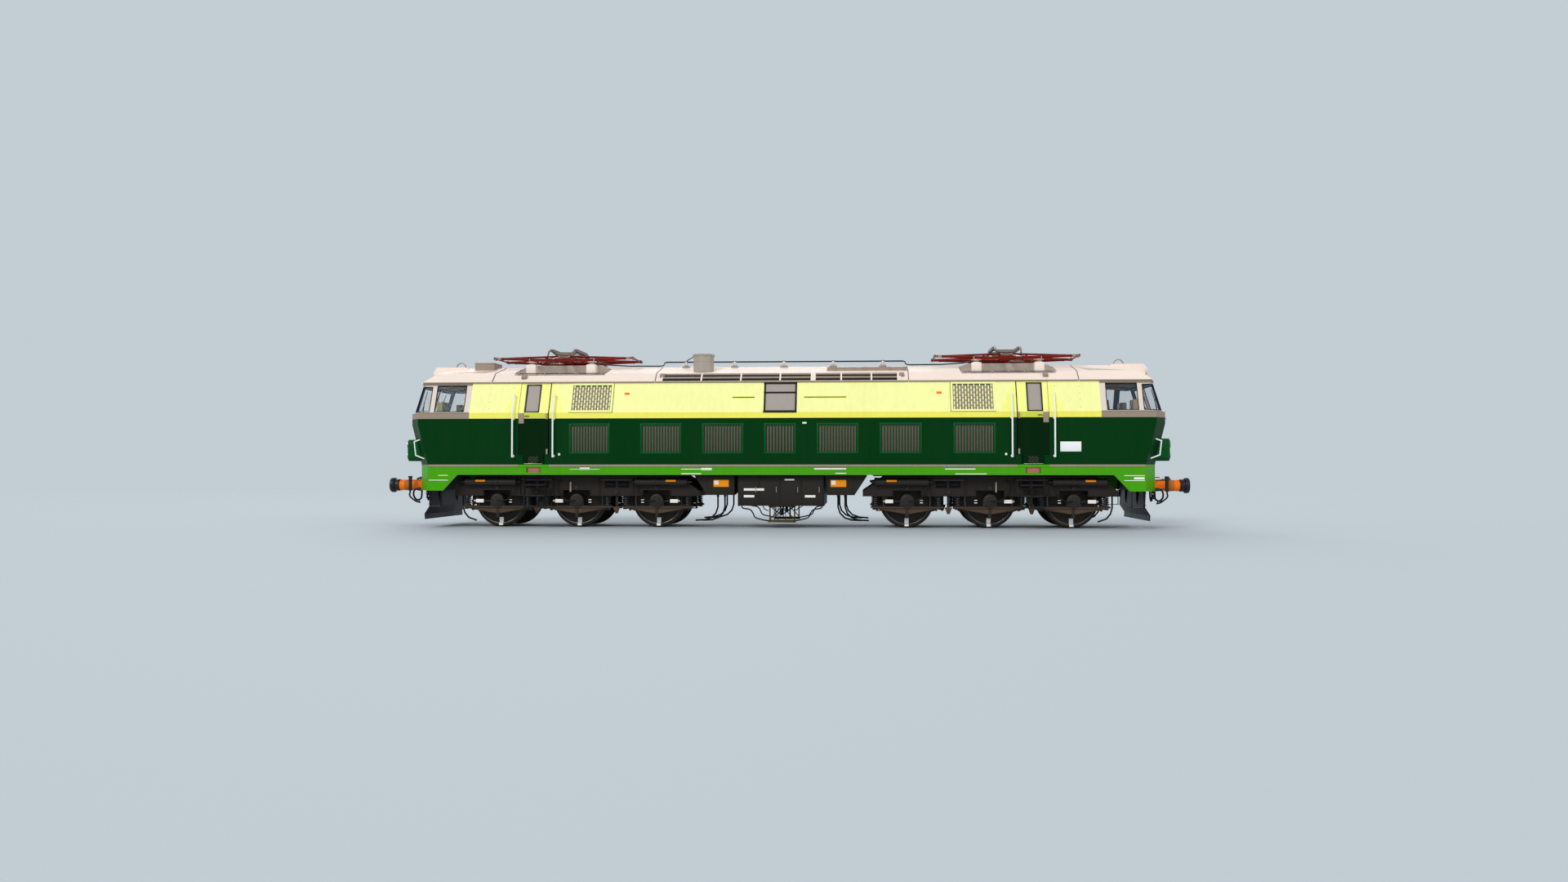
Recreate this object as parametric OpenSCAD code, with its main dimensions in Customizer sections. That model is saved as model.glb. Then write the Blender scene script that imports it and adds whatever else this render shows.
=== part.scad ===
// Electric locomotive for main lines: two cabs, two three-axle bogies, two diamond pantographs.
// Millimetres. +X runs along the locomotive, +Z is up, and z = 0 is the bottom of the wheel flanges.
// Both ends and both sides are alike, so most pieces are drawn once and mirrored.

/* [Body] */
// Half of the length over the buffer faces
buffer_face_x = 9620; // [9300:10:10000]
// Half of the body's width
body_w = 1500; // [1450:10:1540]
// Half of the body's width at the gutter, above the leaning panels
gutter_w = 1200; // [1150:10:1230]
// Height of the skirt's lower edge between the ends
skirt_z = 1270; // [1250:5:1290]
// Height of the skirt's lower edge at the ends
apron_z = 890; // [860:10:960]
// Height where the side walls stand on the skirt
sole_z = 1515; // [1495:5:1530]
// Height of the waist, where the side starts to lean in
waist_z = 2750; // [2700:10:2800]
// Height of the gutter
gutter_z = 3490; // [3460:10:3520]
// Thickness of the body's walls
wall_t = 50; // [40:5:55]
// Thickness of the roof's skin
roof_t = 40; // [30:5:50]
// Top of the deck, which is the vestibule's floor
deck_z = 1460; // [1450:2:1464]
// Thickness of the deck
deck_t = 80; // [60:5:85]

/* [Roof] */
// Half of the width between the roof's shoulders
shoulder_w = 900; // [850:10:920]
// Height of the roof's shoulders
shoulder_z = 3740; // [3720:5:3760]
// Height of the roof's ridge
ridge_z = 3950; // [3930:5:4000]
// Distance from the middle to the seam of the middle roof
mid_seam_x = 3040; // [2950:10:3100]
// Distance from the middle to the seam of the cab roof
cab_seam_x = 7030; // [6950:10:7060]
// Inner end of the pantograph's well
well_x0 = 4310; // [4200:10:4400]
// Outer end of the pantograph's well
well_x1 = 6540; // [6500:10:6700]
// Half of the width of the ridge left between the wells
well_ridge_w = 250; // [200:10:300]
// Height of the well's floor
well_z = 3690; // [3660:5:3710]
// Top of the raised ridge between the wells
well_ridge_z = 3990; // [3970:5:4000]
// How far the roof's front slopes back from the gutter to the shoulder
hip_set = 286; // [240:2:320]
// Front of the cowl over the cab's top lamp
cowl_x = 8800; // [8760:5:8820]

/* [Cab] */
// Distance from the middle to the cab's waist
cab_x = 9045; // [8950:5:9100]
// How far the chin lies behind the waist
chin_set = 245; // [200:5:280]
// Half of the width of the cab's flat front
front_w = 1070; // [1000:10:1120]
// Plan angle of the cab's corner facets
facet_a = 34.9; // [30:0.5:40]
// Height where the front starts to slant back to the chin
knuckle_z = 2480; // [2400:10:2520]
// Set-back of the windscreen's foot behind the waist
screen_set = 60; // [40:5:80]
// Slope of the windscreen, from its foot to its head
screen_rake = 235; // [200:5:260]
// Bottom of the window openings, above the waist
window_sill = 40; // [30:5:60]
// Top of the cab's window openings
window_head_z = 3430; // [3400:5:3440]
// Half of the width of the windscreen's middle post
mid_post_w = 50; // [40:5:60]
// Width of the cab's corner pillars, on each side of the corner
corner_post_w = 55; // [45:5:65]
// Distance from the middle to the rear edge of the cab's side window
side_window_x0 = 7630; // [7560:10:7700]
// Distance from the middle to the front edge of the cab's side window
side_window_x1 = 8350; // [8300:10:8370]
// Distance from the middle to the rear edge of the quarter window
quarter_x0 = 8475; // [8460:5:8500]
// Height of the cab's raised floor
cab_floor_z = 1800; // [1700:10:1900]
// Distance from the middle to the bulkhead behind the cab
bulkhead_x = 7280; // [7100:10:7350]
// Distance from the middle to the machine room's end wall
machine_wall_x = 5360; // [5250:10:5400]
// Thickness of the bulkheads, floors and ceilings
lining_t = 40; // [30:5:50]

/* [Doors] */
// Distance from the middle to the door's free jamb
door_x0 = 5540; // [5500:5:5580]
// Distance from the middle to the door's hinged jamb
door_x1 = 6290; // [6270:5:6350]
// Thickness of the door leaf
leaf_t = 40; // [30:2:42]
// Gap beside the free edge, which swings out as the leaf turns in
free_gap = 26; // [25:1:40]
// Gap beside the hinged edge, and above and below the leaf
door_gap = 8; // [6:1:12]
// Height where the leaf narrows above the step
door_narrow_z = 1750; // [1700:10:1800]
// Depth of the hinge axis behind the body's outer face
hinge_depth = 350; // [348:2:380]
// Radius of the hinge pins
hinge_r = 10; // [8:1:12]

/* [Running gear] */
// Distance from the middle to a bogie's king pin
pivot_x = 4950; // [4920:10:5000]
// Distance between neighbouring axles of a bogie
axle_pitch = 1950; // [1930:5:1970]
// Largest radius of the wheels, over the flange
flange_r = 653; // [640:1:656]
// Radius of the tread at its middle
tread_r = 625; // [612:1:628]
// Half of the distance between the backs of the wheels
wheel_back_y = 680; // [675:1:685]
// Width of a wheel
wheel_w = 135; // [130:1:140]
// Radius of the axle
axle_r = 95; // [85:1:100]
// Radius of the axle's journals
journal_r = 75; // [65:1:80]
// Inner face of the bogie's side beams
beam_y0 = 960; // [950:5:980]
// Thickness of the bogie's side beams
beam_t = 180; // [160:5:190]
// Top of the bogie's frame
bogie_top_z = 1240; // [1220:5:1245]
// Underside of the bogie's side beams
beam_z0 = 760; // [740:5:780]
// Half of the length of the bogie's frame
bogie_half = 3000; // [2960:10:3020]
// Distance of each coil spring from its axle
spring_dx = 750; // [740:5:760]
// Radius of the coil springs
spring_r = 88; // [75:1:95]
// Radius of the king pin
king_r = 100; // [80:5:110]
// Radius of a traction motor
motor_r = 328; // [300:2:330]
// Distance of a traction motor from its axle
motor_dx = 560; // [555:1:565]
// Radial clearance of the running fits
fit = 0.05; // [0.02:0.01:0.1]

/* [Buffers] */
// Distance of the buffers from the middle line
buffer_y = 875; // [860:5:900]
// Height of the buffers and the draw hook
buffer_z = 1020; // [1000:5:1060]
// Radius of the buffer's head
buffer_r = 170; // [160:5:190]

/* [Pantographs] */
// Distance from the middle to each pantograph's middle
panto_x = 5420; // [5400:10:5450]
// Height of the lower arms' shafts
panto_z = 4085; // [4080:5:4120]
// Length of each arm
arm_len = 1600; // [1500:10:1620]
// Angle of the folded arms above the level
arm_a = 2; // [2:0.1:3]
// Distance of the shafts from the pantograph's middle
shaft_dx = 120; // [110:5:140]
// Distance of the lower arms from the middle line
lower_y = 580; // [570:5:600]
// Distance of the upper arms from the middle line
upper_y = 500; // [490:5:510]
// Distance of the feet from the pantograph's middle
foot_dx = 745; // [700:5:800]
// Distance of the feet from the middle line
foot_y = 750; // [745:5:790]

/* [Hidden] */
$fn = 48;

// How much thicker the elbow of a bent bar is.
elbow = 1;
// Far enough to reach past the body in any direction.
far = 20000;
lean = atan2(body_w - gutter_w, gutter_z - waist_z);
lean_len = (gutter_z - waist_z) / cos(lean);
chin_x = cab_x - chin_set;
screen_x = cab_x - screen_set;
deck_z0 = deck_z - deck_t;
inner_w = body_w - wall_t;
axle_z = flange_r;
axles = [-axle_pitch, 0, axle_pitch];
beam_y1 = beam_y0 + beam_t;
hinge_y = body_w - hinge_depth;
hinge_zs = [1950, 2600];
hinge_plate_t = 20;
leaf_x0 = door_x0 + free_gap;
leaf_x1 = door_x1 - door_gap;
hinge_x = leaf_x1 + 3;
narrow_x0 = door_x0 + 135;
narrow_x1 = door_x1 - 120;
glass_set = 15;
glass_t = 12;
louvre_z0 = 1770;
louvre_z1 = 2500;
louvre_xs = [0, 1360, 2840, 4560];
slat_pitch = 62;
// How much of the pitch is open.
slot_share = 0.68;
grille_x = 4540;
grille_w = 1040;
knuckle_dx = shaft_dx + arm_len * cos(arm_a);
knuckle_dz = arm_len * sin(arm_a);
head_z = panto_z + 2 * knuckle_dz;
// Which side of each axle carries the guide link.
link_sides = [-1, 1, 1];

// ---------------------------------------------------------------- helpers

module both_ends() {
  children();
  mirror([1, 0, 0]) children();
}

module both_sides() {
  children();
  mirror([0, 1, 0]) children();
}

module four_corners() {
  both_ends() both_sides() children();
}

// A profile of (y, z) points drawn out along X.
module along_x(x0, x1) {
  translate([x0, 0, 0]) rotate([90, 0, 90]) linear_extrude(x1 - x0) children();
}

// A profile of (x, z) points drawn out along Y.
module along_y(y0, y1) {
  translate([0, y1, 0]) rotate([90, 0, 0]) linear_extrude(y1 - y0) children();
}

// A box between two opposite corners.
module block(a, b) {
  translate([min(a[0], b[0]), min(a[1], b[1]), min(a[2], b[2])])
    cube([abs(b[0] - a[0]), abs(b[1] - a[1]), abs(b[2] - a[2])]);
}

// A round bar between two points.
module bar(a, b, r) {
  d = b - a;
  translate(a)
    rotate([0, acos(d[2] / norm(d)), atan2(d[1], d[0])])
      cylinder(h = norm(d), r = r);
}

// A round bar through a list of points, with a slightly thicker elbow at each bend.
module bent_bar(points, r) {
  for (i = [1:len(points) - 1]) bar(points[i - 1], points[i], r);
  for (i = [1:len(points) - 2]) translate(points[i]) sphere(r = r + elbow);
}

// A cylinder along Y from y0 to y1.
module y_cylinder(x, z, r, y0, y1) {
  translate([x, y1, z]) rotate([90, 0, 0]) cylinder(h = y1 - y0, r = r);
}

// A cylinder along X from x0 to x1.
module x_cylinder(y, z, r, x0, x1) {
  translate([x0, y, z]) rotate([0, 90, 0]) cylinder(h = x1 - x0, r = r);
}

// ---------------------------------------------------------------- body outlines

// The side's line from z0 to z1, set in by an offset.
function side_line(set, z0, z1) = [
  [body_w - set, z0],
  [body_w - set, waist_z - set * tan(lean / 2)],
  [gutter_w - set / cos(lean) + (gutter_z - z1) * tan(lean), z1]
];

function reversed(list) = [for (i = [len(list) - 1:-1:0]) list[i]];

function mirrored(list) = [for (p = reversed(list)) [-p[0], p[1]]];

// The whole section of the body below the gutter, set in by an offset.
module section(set, z0, z1 = gutter_z) {
  line = side_line(set, z0, z1);
  polygon(concat(line, mirrored(line)));
}

// A skin of the side between two offsets.
module side_skin(set0, set1, z0, z1) {
  polygon(concat(side_line(set0, z0, z1), reversed(side_line(set1, z0, z1))));
}

// Everything behind a front line of (x, z) points, with the two corner facets.
module behind_front(line) {
  first = line[0];
  last = line[len(line) - 1];
  turned = [for (p = line) [p[0] * cos(facet_a) + front_w * sin(facet_a), p[1]]];
  intersection() {
    along_y(-far, far) polygon(concat(line, [[-far, last[1]], [-far, first[1]]]));
    for_facet(1) polygon(concat(turned, [[-far, last[1]], [-far, first[1]]]));
    for_facet(-1) polygon(concat(turned, [[-far, last[1]], [-far, first[1]]]));
  }
}

// A profile drawn out along a corner facet of the +Y or the -Y side.
module for_facet(side) {
  rotate([0, 0, side * facet_a]) along_y(-far, far) children();
}

// The cab's front line, set in by an offset and lengthened by an extra height at both ends.
function front_line(set, extra = 0) = [
  [chin_x - set, sole_z - extra],
  [cab_x - set, knuckle_z],
  [cab_x - set, waist_z - set],
  [screen_x - set, waist_z - set],
  [screen_x - screen_rake - set, gutter_z + extra]
];

// The cab's block between its seam and its front, set in by an offset. An extra length reaches past
// its sole, its gutter and its seam, to cut them open.
module cab_solid(set, extra = 0) {
  intersection() {
    along_x(cab_seam_x - extra, far) section(set, sole_z - extra, gutter_z + extra);
    behind_front(front_line(set, extra));
  }
}

// The block of the skirt and the aprons, set in by an offset.
module skirt_solid(set, z0, z1) {
  both_ends() intersection() {
    block([-1, -body_w + set, z0], [far, body_w - set, z1]);
    behind_front([[chin_x - set, z0], [chin_x - set, z1]]);
  }
}

// ---------------------------------------------------------------- body

apron_x = 8130;
apron_slope = 360;

module side_skirts() {
  color("limegreen") difference() {
    intersection() {
      skirt_solid(0, apron_z, sole_z);
      both_ends() along_y(-far, far) polygon([
        [-1, skirt_z], [apron_x - apron_slope, skirt_z], [apron_x, apron_z],
        [far, apron_z], [far, sole_z], [-1, sole_z]
      ]);
    }
    skirt_solid(wall_t, apron_z - 1, sole_z + 1);
    four_corners() foothold();
  }
}

// The foothold's pocket in the skirt below each door.
module foothold() {
  middle = (door_x0 + door_x1) / 2;
  block([middle - 170, body_w - 35, skirt_z + 50], [middle + 170, far, sole_z - 58]);
}

sill_y = 1330;
headstock_x = 8450;
bolster_z = 1290;

module underframe() {
  color("dimgray") {
    skirt_solid(wall_t, deck_z0, deck_z);
    both_ends() headstock();
    both_sides() block([-headstock_x, sill_y, skirt_z], [headstock_x, inner_w, deck_z0 + 1]);
    both_ends() bolster();
  }
}

module headstock() {
  intersection() {
    skirt_solid(wall_t, apron_z, deck_z0 + 1);
    block([headstock_x, -far, 0], [far, far, far]);
  }
}

// The king pin and the pads over a bogie.
module bolster() {
  block([pivot_x - 250, -500, bolster_z], [pivot_x + 250, 500, deck_z0 + 1]);
  both_sides() block([pivot_x - 250, 930, bolster_z], [pivot_x + 250, sill_y + 1, deck_z0 + 1]);
  translate([pivot_x, 0, bogie_top_z - 240]) cylinder(h = deck_z0 - bogie_top_z + 240, r = king_r);
}

module side_walls() {
  color("darkgreen") both_sides() {
    difference() {
      along_x(-cab_seam_x, cab_seam_x) side_skin(0, wall_t, sole_z, gutter_z);
      both_ends() door_opening();
      for (x = louvre_xs) both_ends() louvre_opening(x);
      both_ends() grille_opening();
      centre_window_opening();
    }
    both_ends() hinge_brackets();
  }
}

// The hole for a door, open at the sole and at the gutter.
module door_opening() {
  block([door_x0, 0, door_narrow_z - door_gap], [door_x1, far, gutter_z + 1]);
  block([narrow_x0 - free_gap, 0, sole_z - 1], [narrow_x1 + door_gap, far, door_narrow_z]);
}

// The fixed half of a door's hinges: two plates around each arm, and the pin.
module hinge_brackets() {
  for (z = hinge_zs) {
    for (step = [-1, 1]) translate([0, 0, z + step * (hinge_plate_t + 5) - hinge_plate_t / 2]) {
      linear_extrude(hinge_plate_t) {
        polygon([
          [door_x1 + 10, inner_w + 1], [door_x1 + 70, inner_w + 1],
          [door_x1 + 70, hinge_y - 25], [hinge_x, hinge_y - 25],
          [hinge_x, hinge_y + 25], [door_x1 + 10, hinge_y + 25]
        ]);
        translate([hinge_x, hinge_y]) circle(r = 25);
      }
    }
    translate([hinge_x, hinge_y, z - 1.5 * hinge_plate_t - 5])
      cylinder(h = 3 * hinge_plate_t + 10, r = hinge_r);
  }
}

function louvre_w(x) = x == 0 ? 760 : 990;

module louvre_opening(x) {
  w = louvre_w(x);
  block([x - w / 2, 0, louvre_z0], [x + w / 2, far, louvre_z1]);
}

// Moves a piece drawn around the waist line onto the +Y side's leaning panel.
module on_lean() {
  translate([0, body_w, waist_z]) rotate([lean, 0, 0]) children();
}

grille_s0 = 12;
grille_s1 = lean_len - 20;

module grille_opening() {
  on_lean() block(
    [grille_x - grille_w / 2, -2 * wall_t, grille_s0],
    [grille_x + grille_w / 2, 100, grille_s1]
  );
}

centre_window_w = 380;

module centre_window_opening() {
  on_lean() block([-centre_window_w, -2 * wall_t, 24], [centre_window_w, 100, lean_len - 24]);
}

// A louvre panel standing in y = -wall_t to 5, with its slats upright.
module louvre_panel(w, h, pitch) {
  rim = 45;
  count = floor((w - 2 * rim) / pitch);
  step = (w - 2 * rim) / count;
  difference() {
    block([-w / 2, -wall_t, 0], [w / 2, 8, h]);
    for (i = [0:count - 1])
      block(
        [-w / 2 + rim + i * step, -wall_t + 10, rim],
        [-w / 2 + rim + (i + slot_share) * step, 20, h - rim]
      );
  }
}

module side_louvres() {
  color("dimgray") both_sides() {
    for (x = louvre_xs) both_ends() if (x > 0) lower_louvre(x);
    lower_louvre(0);
    both_ends() on_lean() translate([grille_x, 0, grille_s0])
      louvre_panel(grille_w, grille_s1 - grille_s0, slat_pitch);
  }
}

module lower_louvre(x) {
  translate([x, body_w, louvre_z0]) louvre_panel(louvre_w(x), louvre_z1 - louvre_z0, slat_pitch);
}

// Every window opening of a cab, as solids that cut right through its walls.
module cab_window_cuts() {
  z0 = waist_z + window_sill;
  // Windscreens, on both sides of the middle post.
  both_sides() block([screen_x - 600, mid_post_w, z0], [far, front_w - corner_post_w, window_head_z - 30]);
  // Side windows.
  both_sides() block([side_window_x0, inner_w - 500, z0], [side_window_x1, far, window_head_z]);
  // Quarter windows, bent around the body's corner.
  both_sides() intersection() {
    rotate([0, 0, facet_a]) along_x(5000, far) polygon([
      [quarter_cut(waist_z), waist_z], [far, waist_z], [far, gutter_z], [quarter_cut(gutter_z), gutter_z]
    ]);
    block([0, 0, z0], [far, far, window_head_z - 30]);
    block([quarter_x0, 0, 0], [far, far, far]);
  }
}

// Where the front is at a height of the windscreen.
function screen_at(z) = screen_x - screen_rake * (z - waist_z) / (gutter_z - waist_z);

// Where the corner pillar ends along the facet at a height, in the turned frame.
function quarter_cut(z) = -screen_at(z) * sin(facet_a) + front_w * cos(facet_a) + corner_post_w;

brow_x = screen_x - 205;
brow_t = 70;

module cab_shells() {
  color("beige") both_ends() difference() {
    union() {
      cab_solid(0);
      cab_brow();
    }
    cab_solid(wall_t, 1);
    cab_window_cuts();
  }
}

// The visor over the windows.
module cab_brow() {
  intersection() {
    along_x(screen_x - 700, far) section(0, sole_z);
    behind_front([[brow_x, gutter_z - brow_t], [brow_x, gutter_z]]);
  }
}

module windows() {
  color("slategray") {
    both_ends() intersection() {
      difference() {
        cab_solid(glass_set);
        cab_solid(glass_set + glass_t);
      }
      cab_window_cuts();
    }
    both_sides() on_lean()
      block([-centre_window_w, -glass_set - glass_t, 24], [centre_window_w, -glass_set, lean_len - 24]);
  }
}

// ---------------------------------------------------------------- roofs

// The roof's section over the gutter, set in by an offset.
module roof_section(set) {
  slope = atan2(gutter_w - shoulder_w, shoulder_z - gutter_z);
  foot = gutter_w - set / cos(lean);
  side = [
    [foot, gutter_z],
    [shoulder_w - set * cos(slope), shoulder_z - set * sin(slope)],
    [0, ridge_z - set]
  ];
  polygon(concat(side, [for (p = reversed([side[0], side[1]])) [-p[0], p[1]]]));
}

module gutter(x0, x1) {
  both_sides() block([x0, gutter_w - 30, gutter_z], [x1, gutter_w + 30, gutter_z + 20]);
}

module roof_shell(x0, x1) {
  difference() {
    along_x(x0, x1) roof_section(0);
    along_x(x0 - 1, x1 + 1) roof_section(roof_t);
    block([x0 - 1, -gutter_w + roof_t, gutter_z - 1], [x1 + 1, gutter_w - roof_t, gutter_z + 1]);
  }
}

module middle_roof() {
  color("linen") {
    roof_shell(-mid_seam_x, mid_seam_x);
    gutter(-mid_seam_x, mid_seam_x);
  }
}

module pantograph_roofs() {
  color("linen") both_ends() {
    difference() {
      along_x(mid_seam_x, cab_seam_x) roof_section(0);
      difference() {
        along_x(mid_seam_x - 1, cab_seam_x + 1) roof_section(roof_t);
        well(roof_t);
      }
      well(0);
    }
    well_ridge();
    gutter(mid_seam_x, cab_seam_x);
  }
}

// The sunk floor on both sides of the ridge, grown by a skin.
module well(skin) {
  both_sides() block(
    [well_x0 - skin, well_ridge_w - skin, well_z - skin],
    [well_x1 + skin, far, far]
  );
}

// The raised ridge between the wells, with slanted ends.
module well_ridge() {
  foot_z = ridge_z - 70;
  run = 200;
  along_y(-well_ridge_w, well_ridge_w) polygon([
    [well_x0 - 60, foot_z], [well_x0 + run, well_ridge_z],
    [well_x1 - run, well_ridge_z], [well_x1 + 60, foot_z]
  ]);
}

roof_front_x = brow_x;
roof_rise = shoulder_z - gutter_z;
cowl_x0 = 7960;
cowl_w = 180;
cowl_z = ridge_z + 15;

// The cowl that carries the top lamp, out to the front of the cab's ridge.
module lamp_cowl() {
  along_y(-cowl_w, cowl_w) polygon([
    [cowl_x0, ridge_z - 60], [cowl_x0, ridge_z - 10], [cowl_x0 + 60, cowl_z], [cowl_x - 40, cowl_z],
    [cowl_x, cowl_z - 50], [cowl_x, shoulder_z - 80], [cowl_x - 240, shoulder_z - 110]
  ]);
}

module cab_roofs() {
  color("linen") both_ends() {
    difference() {
      union() {
        cab_roof_solid(0);
        lamp_cowl();
      }
      cab_roof_solid(roof_t);
      block(
        [cab_seam_x - 1, -gutter_w + roof_t, gutter_z - 1],
        [roof_front_x - 430, gutter_w - roof_t, gutter_z + 1]
      );
      block(
        [cab_seam_x - 1, -shoulder_w + 100, gutter_z],
        [cab_seam_x + 1, shoulder_w - 100, shoulder_z - roof_t]
      );
    }
    intersection() {
      gutter(cab_seam_x, far);
      behind_front([[brow_x + 20, gutter_z], [brow_x + 20, gutter_z + 20]]);
    }
  }
}

// The cab roof's block, with its hipped front.
module cab_roof_solid(set) {
  back = hip_set * (ridge_z - gutter_z) / roof_rise;
  foot = roof_front_x * cos(facet_a) + front_w * sin(facet_a) - set;
  intersection() {
    along_x(cab_seam_x, far) roof_section(set);
    along_y(-far, far) polygon([
      [0, gutter_z], [roof_front_x - set, gutter_z], [roof_front_x - back - set, ridge_z], [0, ridge_z]
    ]);
    for (side = [-1, 1]) for_facet(side) polygon([
      [-far, gutter_z], [foot, gutter_z], [foot - 2 * hip_set, gutter_z + 2 * roof_rise],
      [-far, gutter_z + 2 * roof_rise]
    ]);
  }
}

// ---------------------------------------------------------------- cab fittings

// Bulkhead, raised floor and ceiling of a cab, and the machine room's end wall.
module cab_linings() {
  color("silver") both_ends() {
    difference() {
      intersection() {
        cab_solid(wall_t, 1);
        union() {
          block([bulkhead_x, -far, cab_floor_z - lining_t], [bulkhead_x + lining_t, far, gutter_z]);
          block([bulkhead_x, -far, cab_floor_z - lining_t], [far, far, cab_floor_z]);
          block([bulkhead_x, -far, gutter_z - lining_t], [far, far, gutter_z]);
        }
      }
      block([bulkhead_x - 1, -300, cab_floor_z], [bulkhead_x + lining_t + 1, 300, gutter_z - 150]);
    }
    block([bulkhead_x, -700, deck_z], [bulkhead_x + lining_t, 700, cab_floor_z - lining_t]);
    along_x(machine_wall_x, machine_wall_x + lining_t) section(wall_t, deck_z);
  }
}

desk_x0 = 8300;
desk_top_z = 2700;

module driver_desks() {
  color("darkslateblue") both_ends() {
    along_y(-1000, 1000) polygon([
      [desk_x0 + 180, cab_floor_z], [desk_x0 + 400, cab_floor_z], [desk_x0 + 560, desk_top_z - 140],
      [desk_x0 + 560, desk_top_z - 60], [desk_x0 + 300, desk_top_z], [desk_x0, desk_top_z - 140],
      [desk_x0, desk_top_z - 200], [desk_x0 + 220, desk_top_z - 240]
    ]);
    both_sides() along_y(520, 900) polygon([
      [desk_x0 + 20, desk_top_z - 129], [desk_x0 + 200, desk_top_z - 47], [desk_x0 + 160, desk_top_z + 280],
      [desk_x0 + 60, desk_top_z + 280]
    ]);
  }
}

seat_x = 7960;
seat_y = 620;
seat_z = cab_floor_z + 500;
back_lean = 6;

module seat_frames() {
  color("dimgray") four_corners() translate([seat_x, seat_y, 0]) {
    translate([0, 0, cab_floor_z]) cylinder(h = 30, r = 180);
    translate([0, 0, cab_floor_z + 29]) cylinder(h = seat_z - cab_floor_z - 60, r = 50);
    block([-230, -200, seat_z - 40], [200, 200, seat_z]);
    translate([0, 0, seat_z]) rotate([0, -back_lean, 0]) block([-225, -150, -20], [-185.3, 150, 380]);
  }
}

module seat_cushions() {
  color("olive") four_corners() translate([seat_x, seat_y, seat_z]) {
    block([-180, -240, 0.3], [240, 240, 110]);
    rotate([0, -back_lean, 0]) block([-185, -230, 130], [-85, 230, 780]);
  }
}

module machine_block() {
  color("slategray") block([-4900, -750, deck_z], [4900, 750, 3000]);
}

lamp_y = 990;
lamp_front_x = 9140;
lamp_z0 = 1600;
lamp_z1 = 2130;
top_lamp_z = 3800;
top_lamp_r = 100;

module headlamps() {
  color("darkgreen") both_ends() {
    difference() {
      both_sides() lamp_pod();
      behind_front(front_line(0));
    }
    x_cylinder(0, top_lamp_z, top_lamp_r, cowl_x, cowl_x + 70);
  }
}

// A lamp pod with round ends, above and below.
module lamp_pod() {
  r = 120;
  x0 = chin_x - 100;
  for (z = [lamp_z0 + r, lamp_z1 - r]) x_cylinder(lamp_y, z, r, x0, lamp_front_x);
  block([x0, lamp_y - r, lamp_z0 + r], [lamp_front_x, lamp_y + r, lamp_z1 - r]);
}

// ---------------------------------------------------------------- ends

module buffers() {
  color("darkorange") four_corners() {
    x_cylinder(buffer_y, buffer_z, 130, chin_x + 30, buffer_face_x - 240);
    x_cylinder(buffer_y, buffer_z, 112, buffer_face_x - 241, buffer_face_x - 60);
    x_cylinder(buffer_y, buffer_z, buffer_r, buffer_face_x - 70, buffer_face_x);
    block([chin_x, buffer_y - 165, buffer_z - 125], [chin_x + 30, buffer_y + 165, buffer_z + 125]);
  }
}

hook_x = 9120;

module draw_gear() {
  color("dimgray") both_ends() {
    block([chin_x, -150, buffer_z - 120], [chin_x + 30, 150, buffer_z + 120]);
    block([chin_x + 30, -35, buffer_z - 45], [hook_x - 120, 35, buffer_z + 45]);
    along_y(-30, 30) difference() {
      translate([hook_x - 60, buffer_z]) circle(r = 95);
      translate([hook_x - 50, buffer_z + 20]) circle(r = 45);
      translate([hook_x - 70, buffer_z + 20]) square([60, 200]);
    }
    y_cylinder(hook_x - 140, buffer_z - 20, 22, -75, 75);
    both_sides() {
      bar([hook_x - 140, 62, buffer_z - 20], [hook_x - 90, 62, buffer_z - 330], 14);
    }
    y_cylinder(hook_x - 90, buffer_z - 330, 24, -75, 75);
  }
}

plough_t = 25;
plough_w = 1350;

module snow_ploughs() {
  color("midnightblue") both_ends() {
    along_y(-plough_w, plough_w) polygon([
      [8500, apron_z], [8500 + plough_t, apron_z], [8480 + plough_t, 515],
      [8625, 330], [8615, 200], [8590, 200], [8600, 322], [8478, 510]
    ]);
    both_sides() along_y(600, 625) polygon([[8499, apron_z], [8460, apron_z], [8460, 700], [8482, 520]]);
  }
}

hose_y = 420;
hose_r = 22;

// Air hoses: a tap on the apron, a hose hanging in a half circle and the dummy coupling that holds it.
module brake_hoses() {
  color("black") four_corners() {
    bend = 110;
    foot_z = apron_z + 90;
    x = chin_x + 60;
    for (y = [hose_y - bend, hose_y + bend]) {
      block([chin_x, y - 30, foot_z], [x + 35, y + 30, foot_z + 60]);
      translate([x, y, foot_z - 200]) cylinder(h = 201, r = hose_r);
    }
    translate([x, hose_y, foot_z - 200]) rotate([90, 180, 90]) rotate_extrude(angle = 180)
      translate([bend, 0]) circle(r = hose_r);
  }
}

rail_r = 16;
front_rail_y = 930;
front_rail_z = 2610;

// A grab rail beside a door, following the side's knee.
module door_rail(x) {
  out = 90;
  shift = lean_len - 330;
  top = [x, body_w + out * cos(lean) - shift * sin(lean), waist_z + out * sin(lean) + shift * cos(lean)];
  knee = [x, body_w + out, waist_z + out * tan(lean / 2)];
  bent_bar([[x, body_w + out, 1690], knee, top], rail_r);
  for (z = [1720, waist_z - 140]) bar([x, body_w, z], [x, body_w + out, z], rail_r);
  s = shift - 30;
  foot = [x, body_w - s * sin(lean), waist_z + s * cos(lean)];
  bar(foot, foot + out * [0, cos(lean), sin(lean)], rail_r);
}

module handrails() {
  color("white") {
    four_corners() {
      door_rail(door_x0 - 110);
      door_rail(door_x1 + 120);
      lamp_rail();
    }
    both_ends() {
      out = cab_x + 95;
      bent_bar([
        [cab_x, -front_rail_y, front_rail_z], [out, -front_rail_y, front_rail_z],
        [out, front_rail_y, front_rail_z], [cab_x, front_rail_y, front_rail_z]
      ], rail_r);
      both_sides() bar([cab_x, 300, front_rail_z], [out, 300, front_rail_z], rail_r);
    }
  }
}

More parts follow.
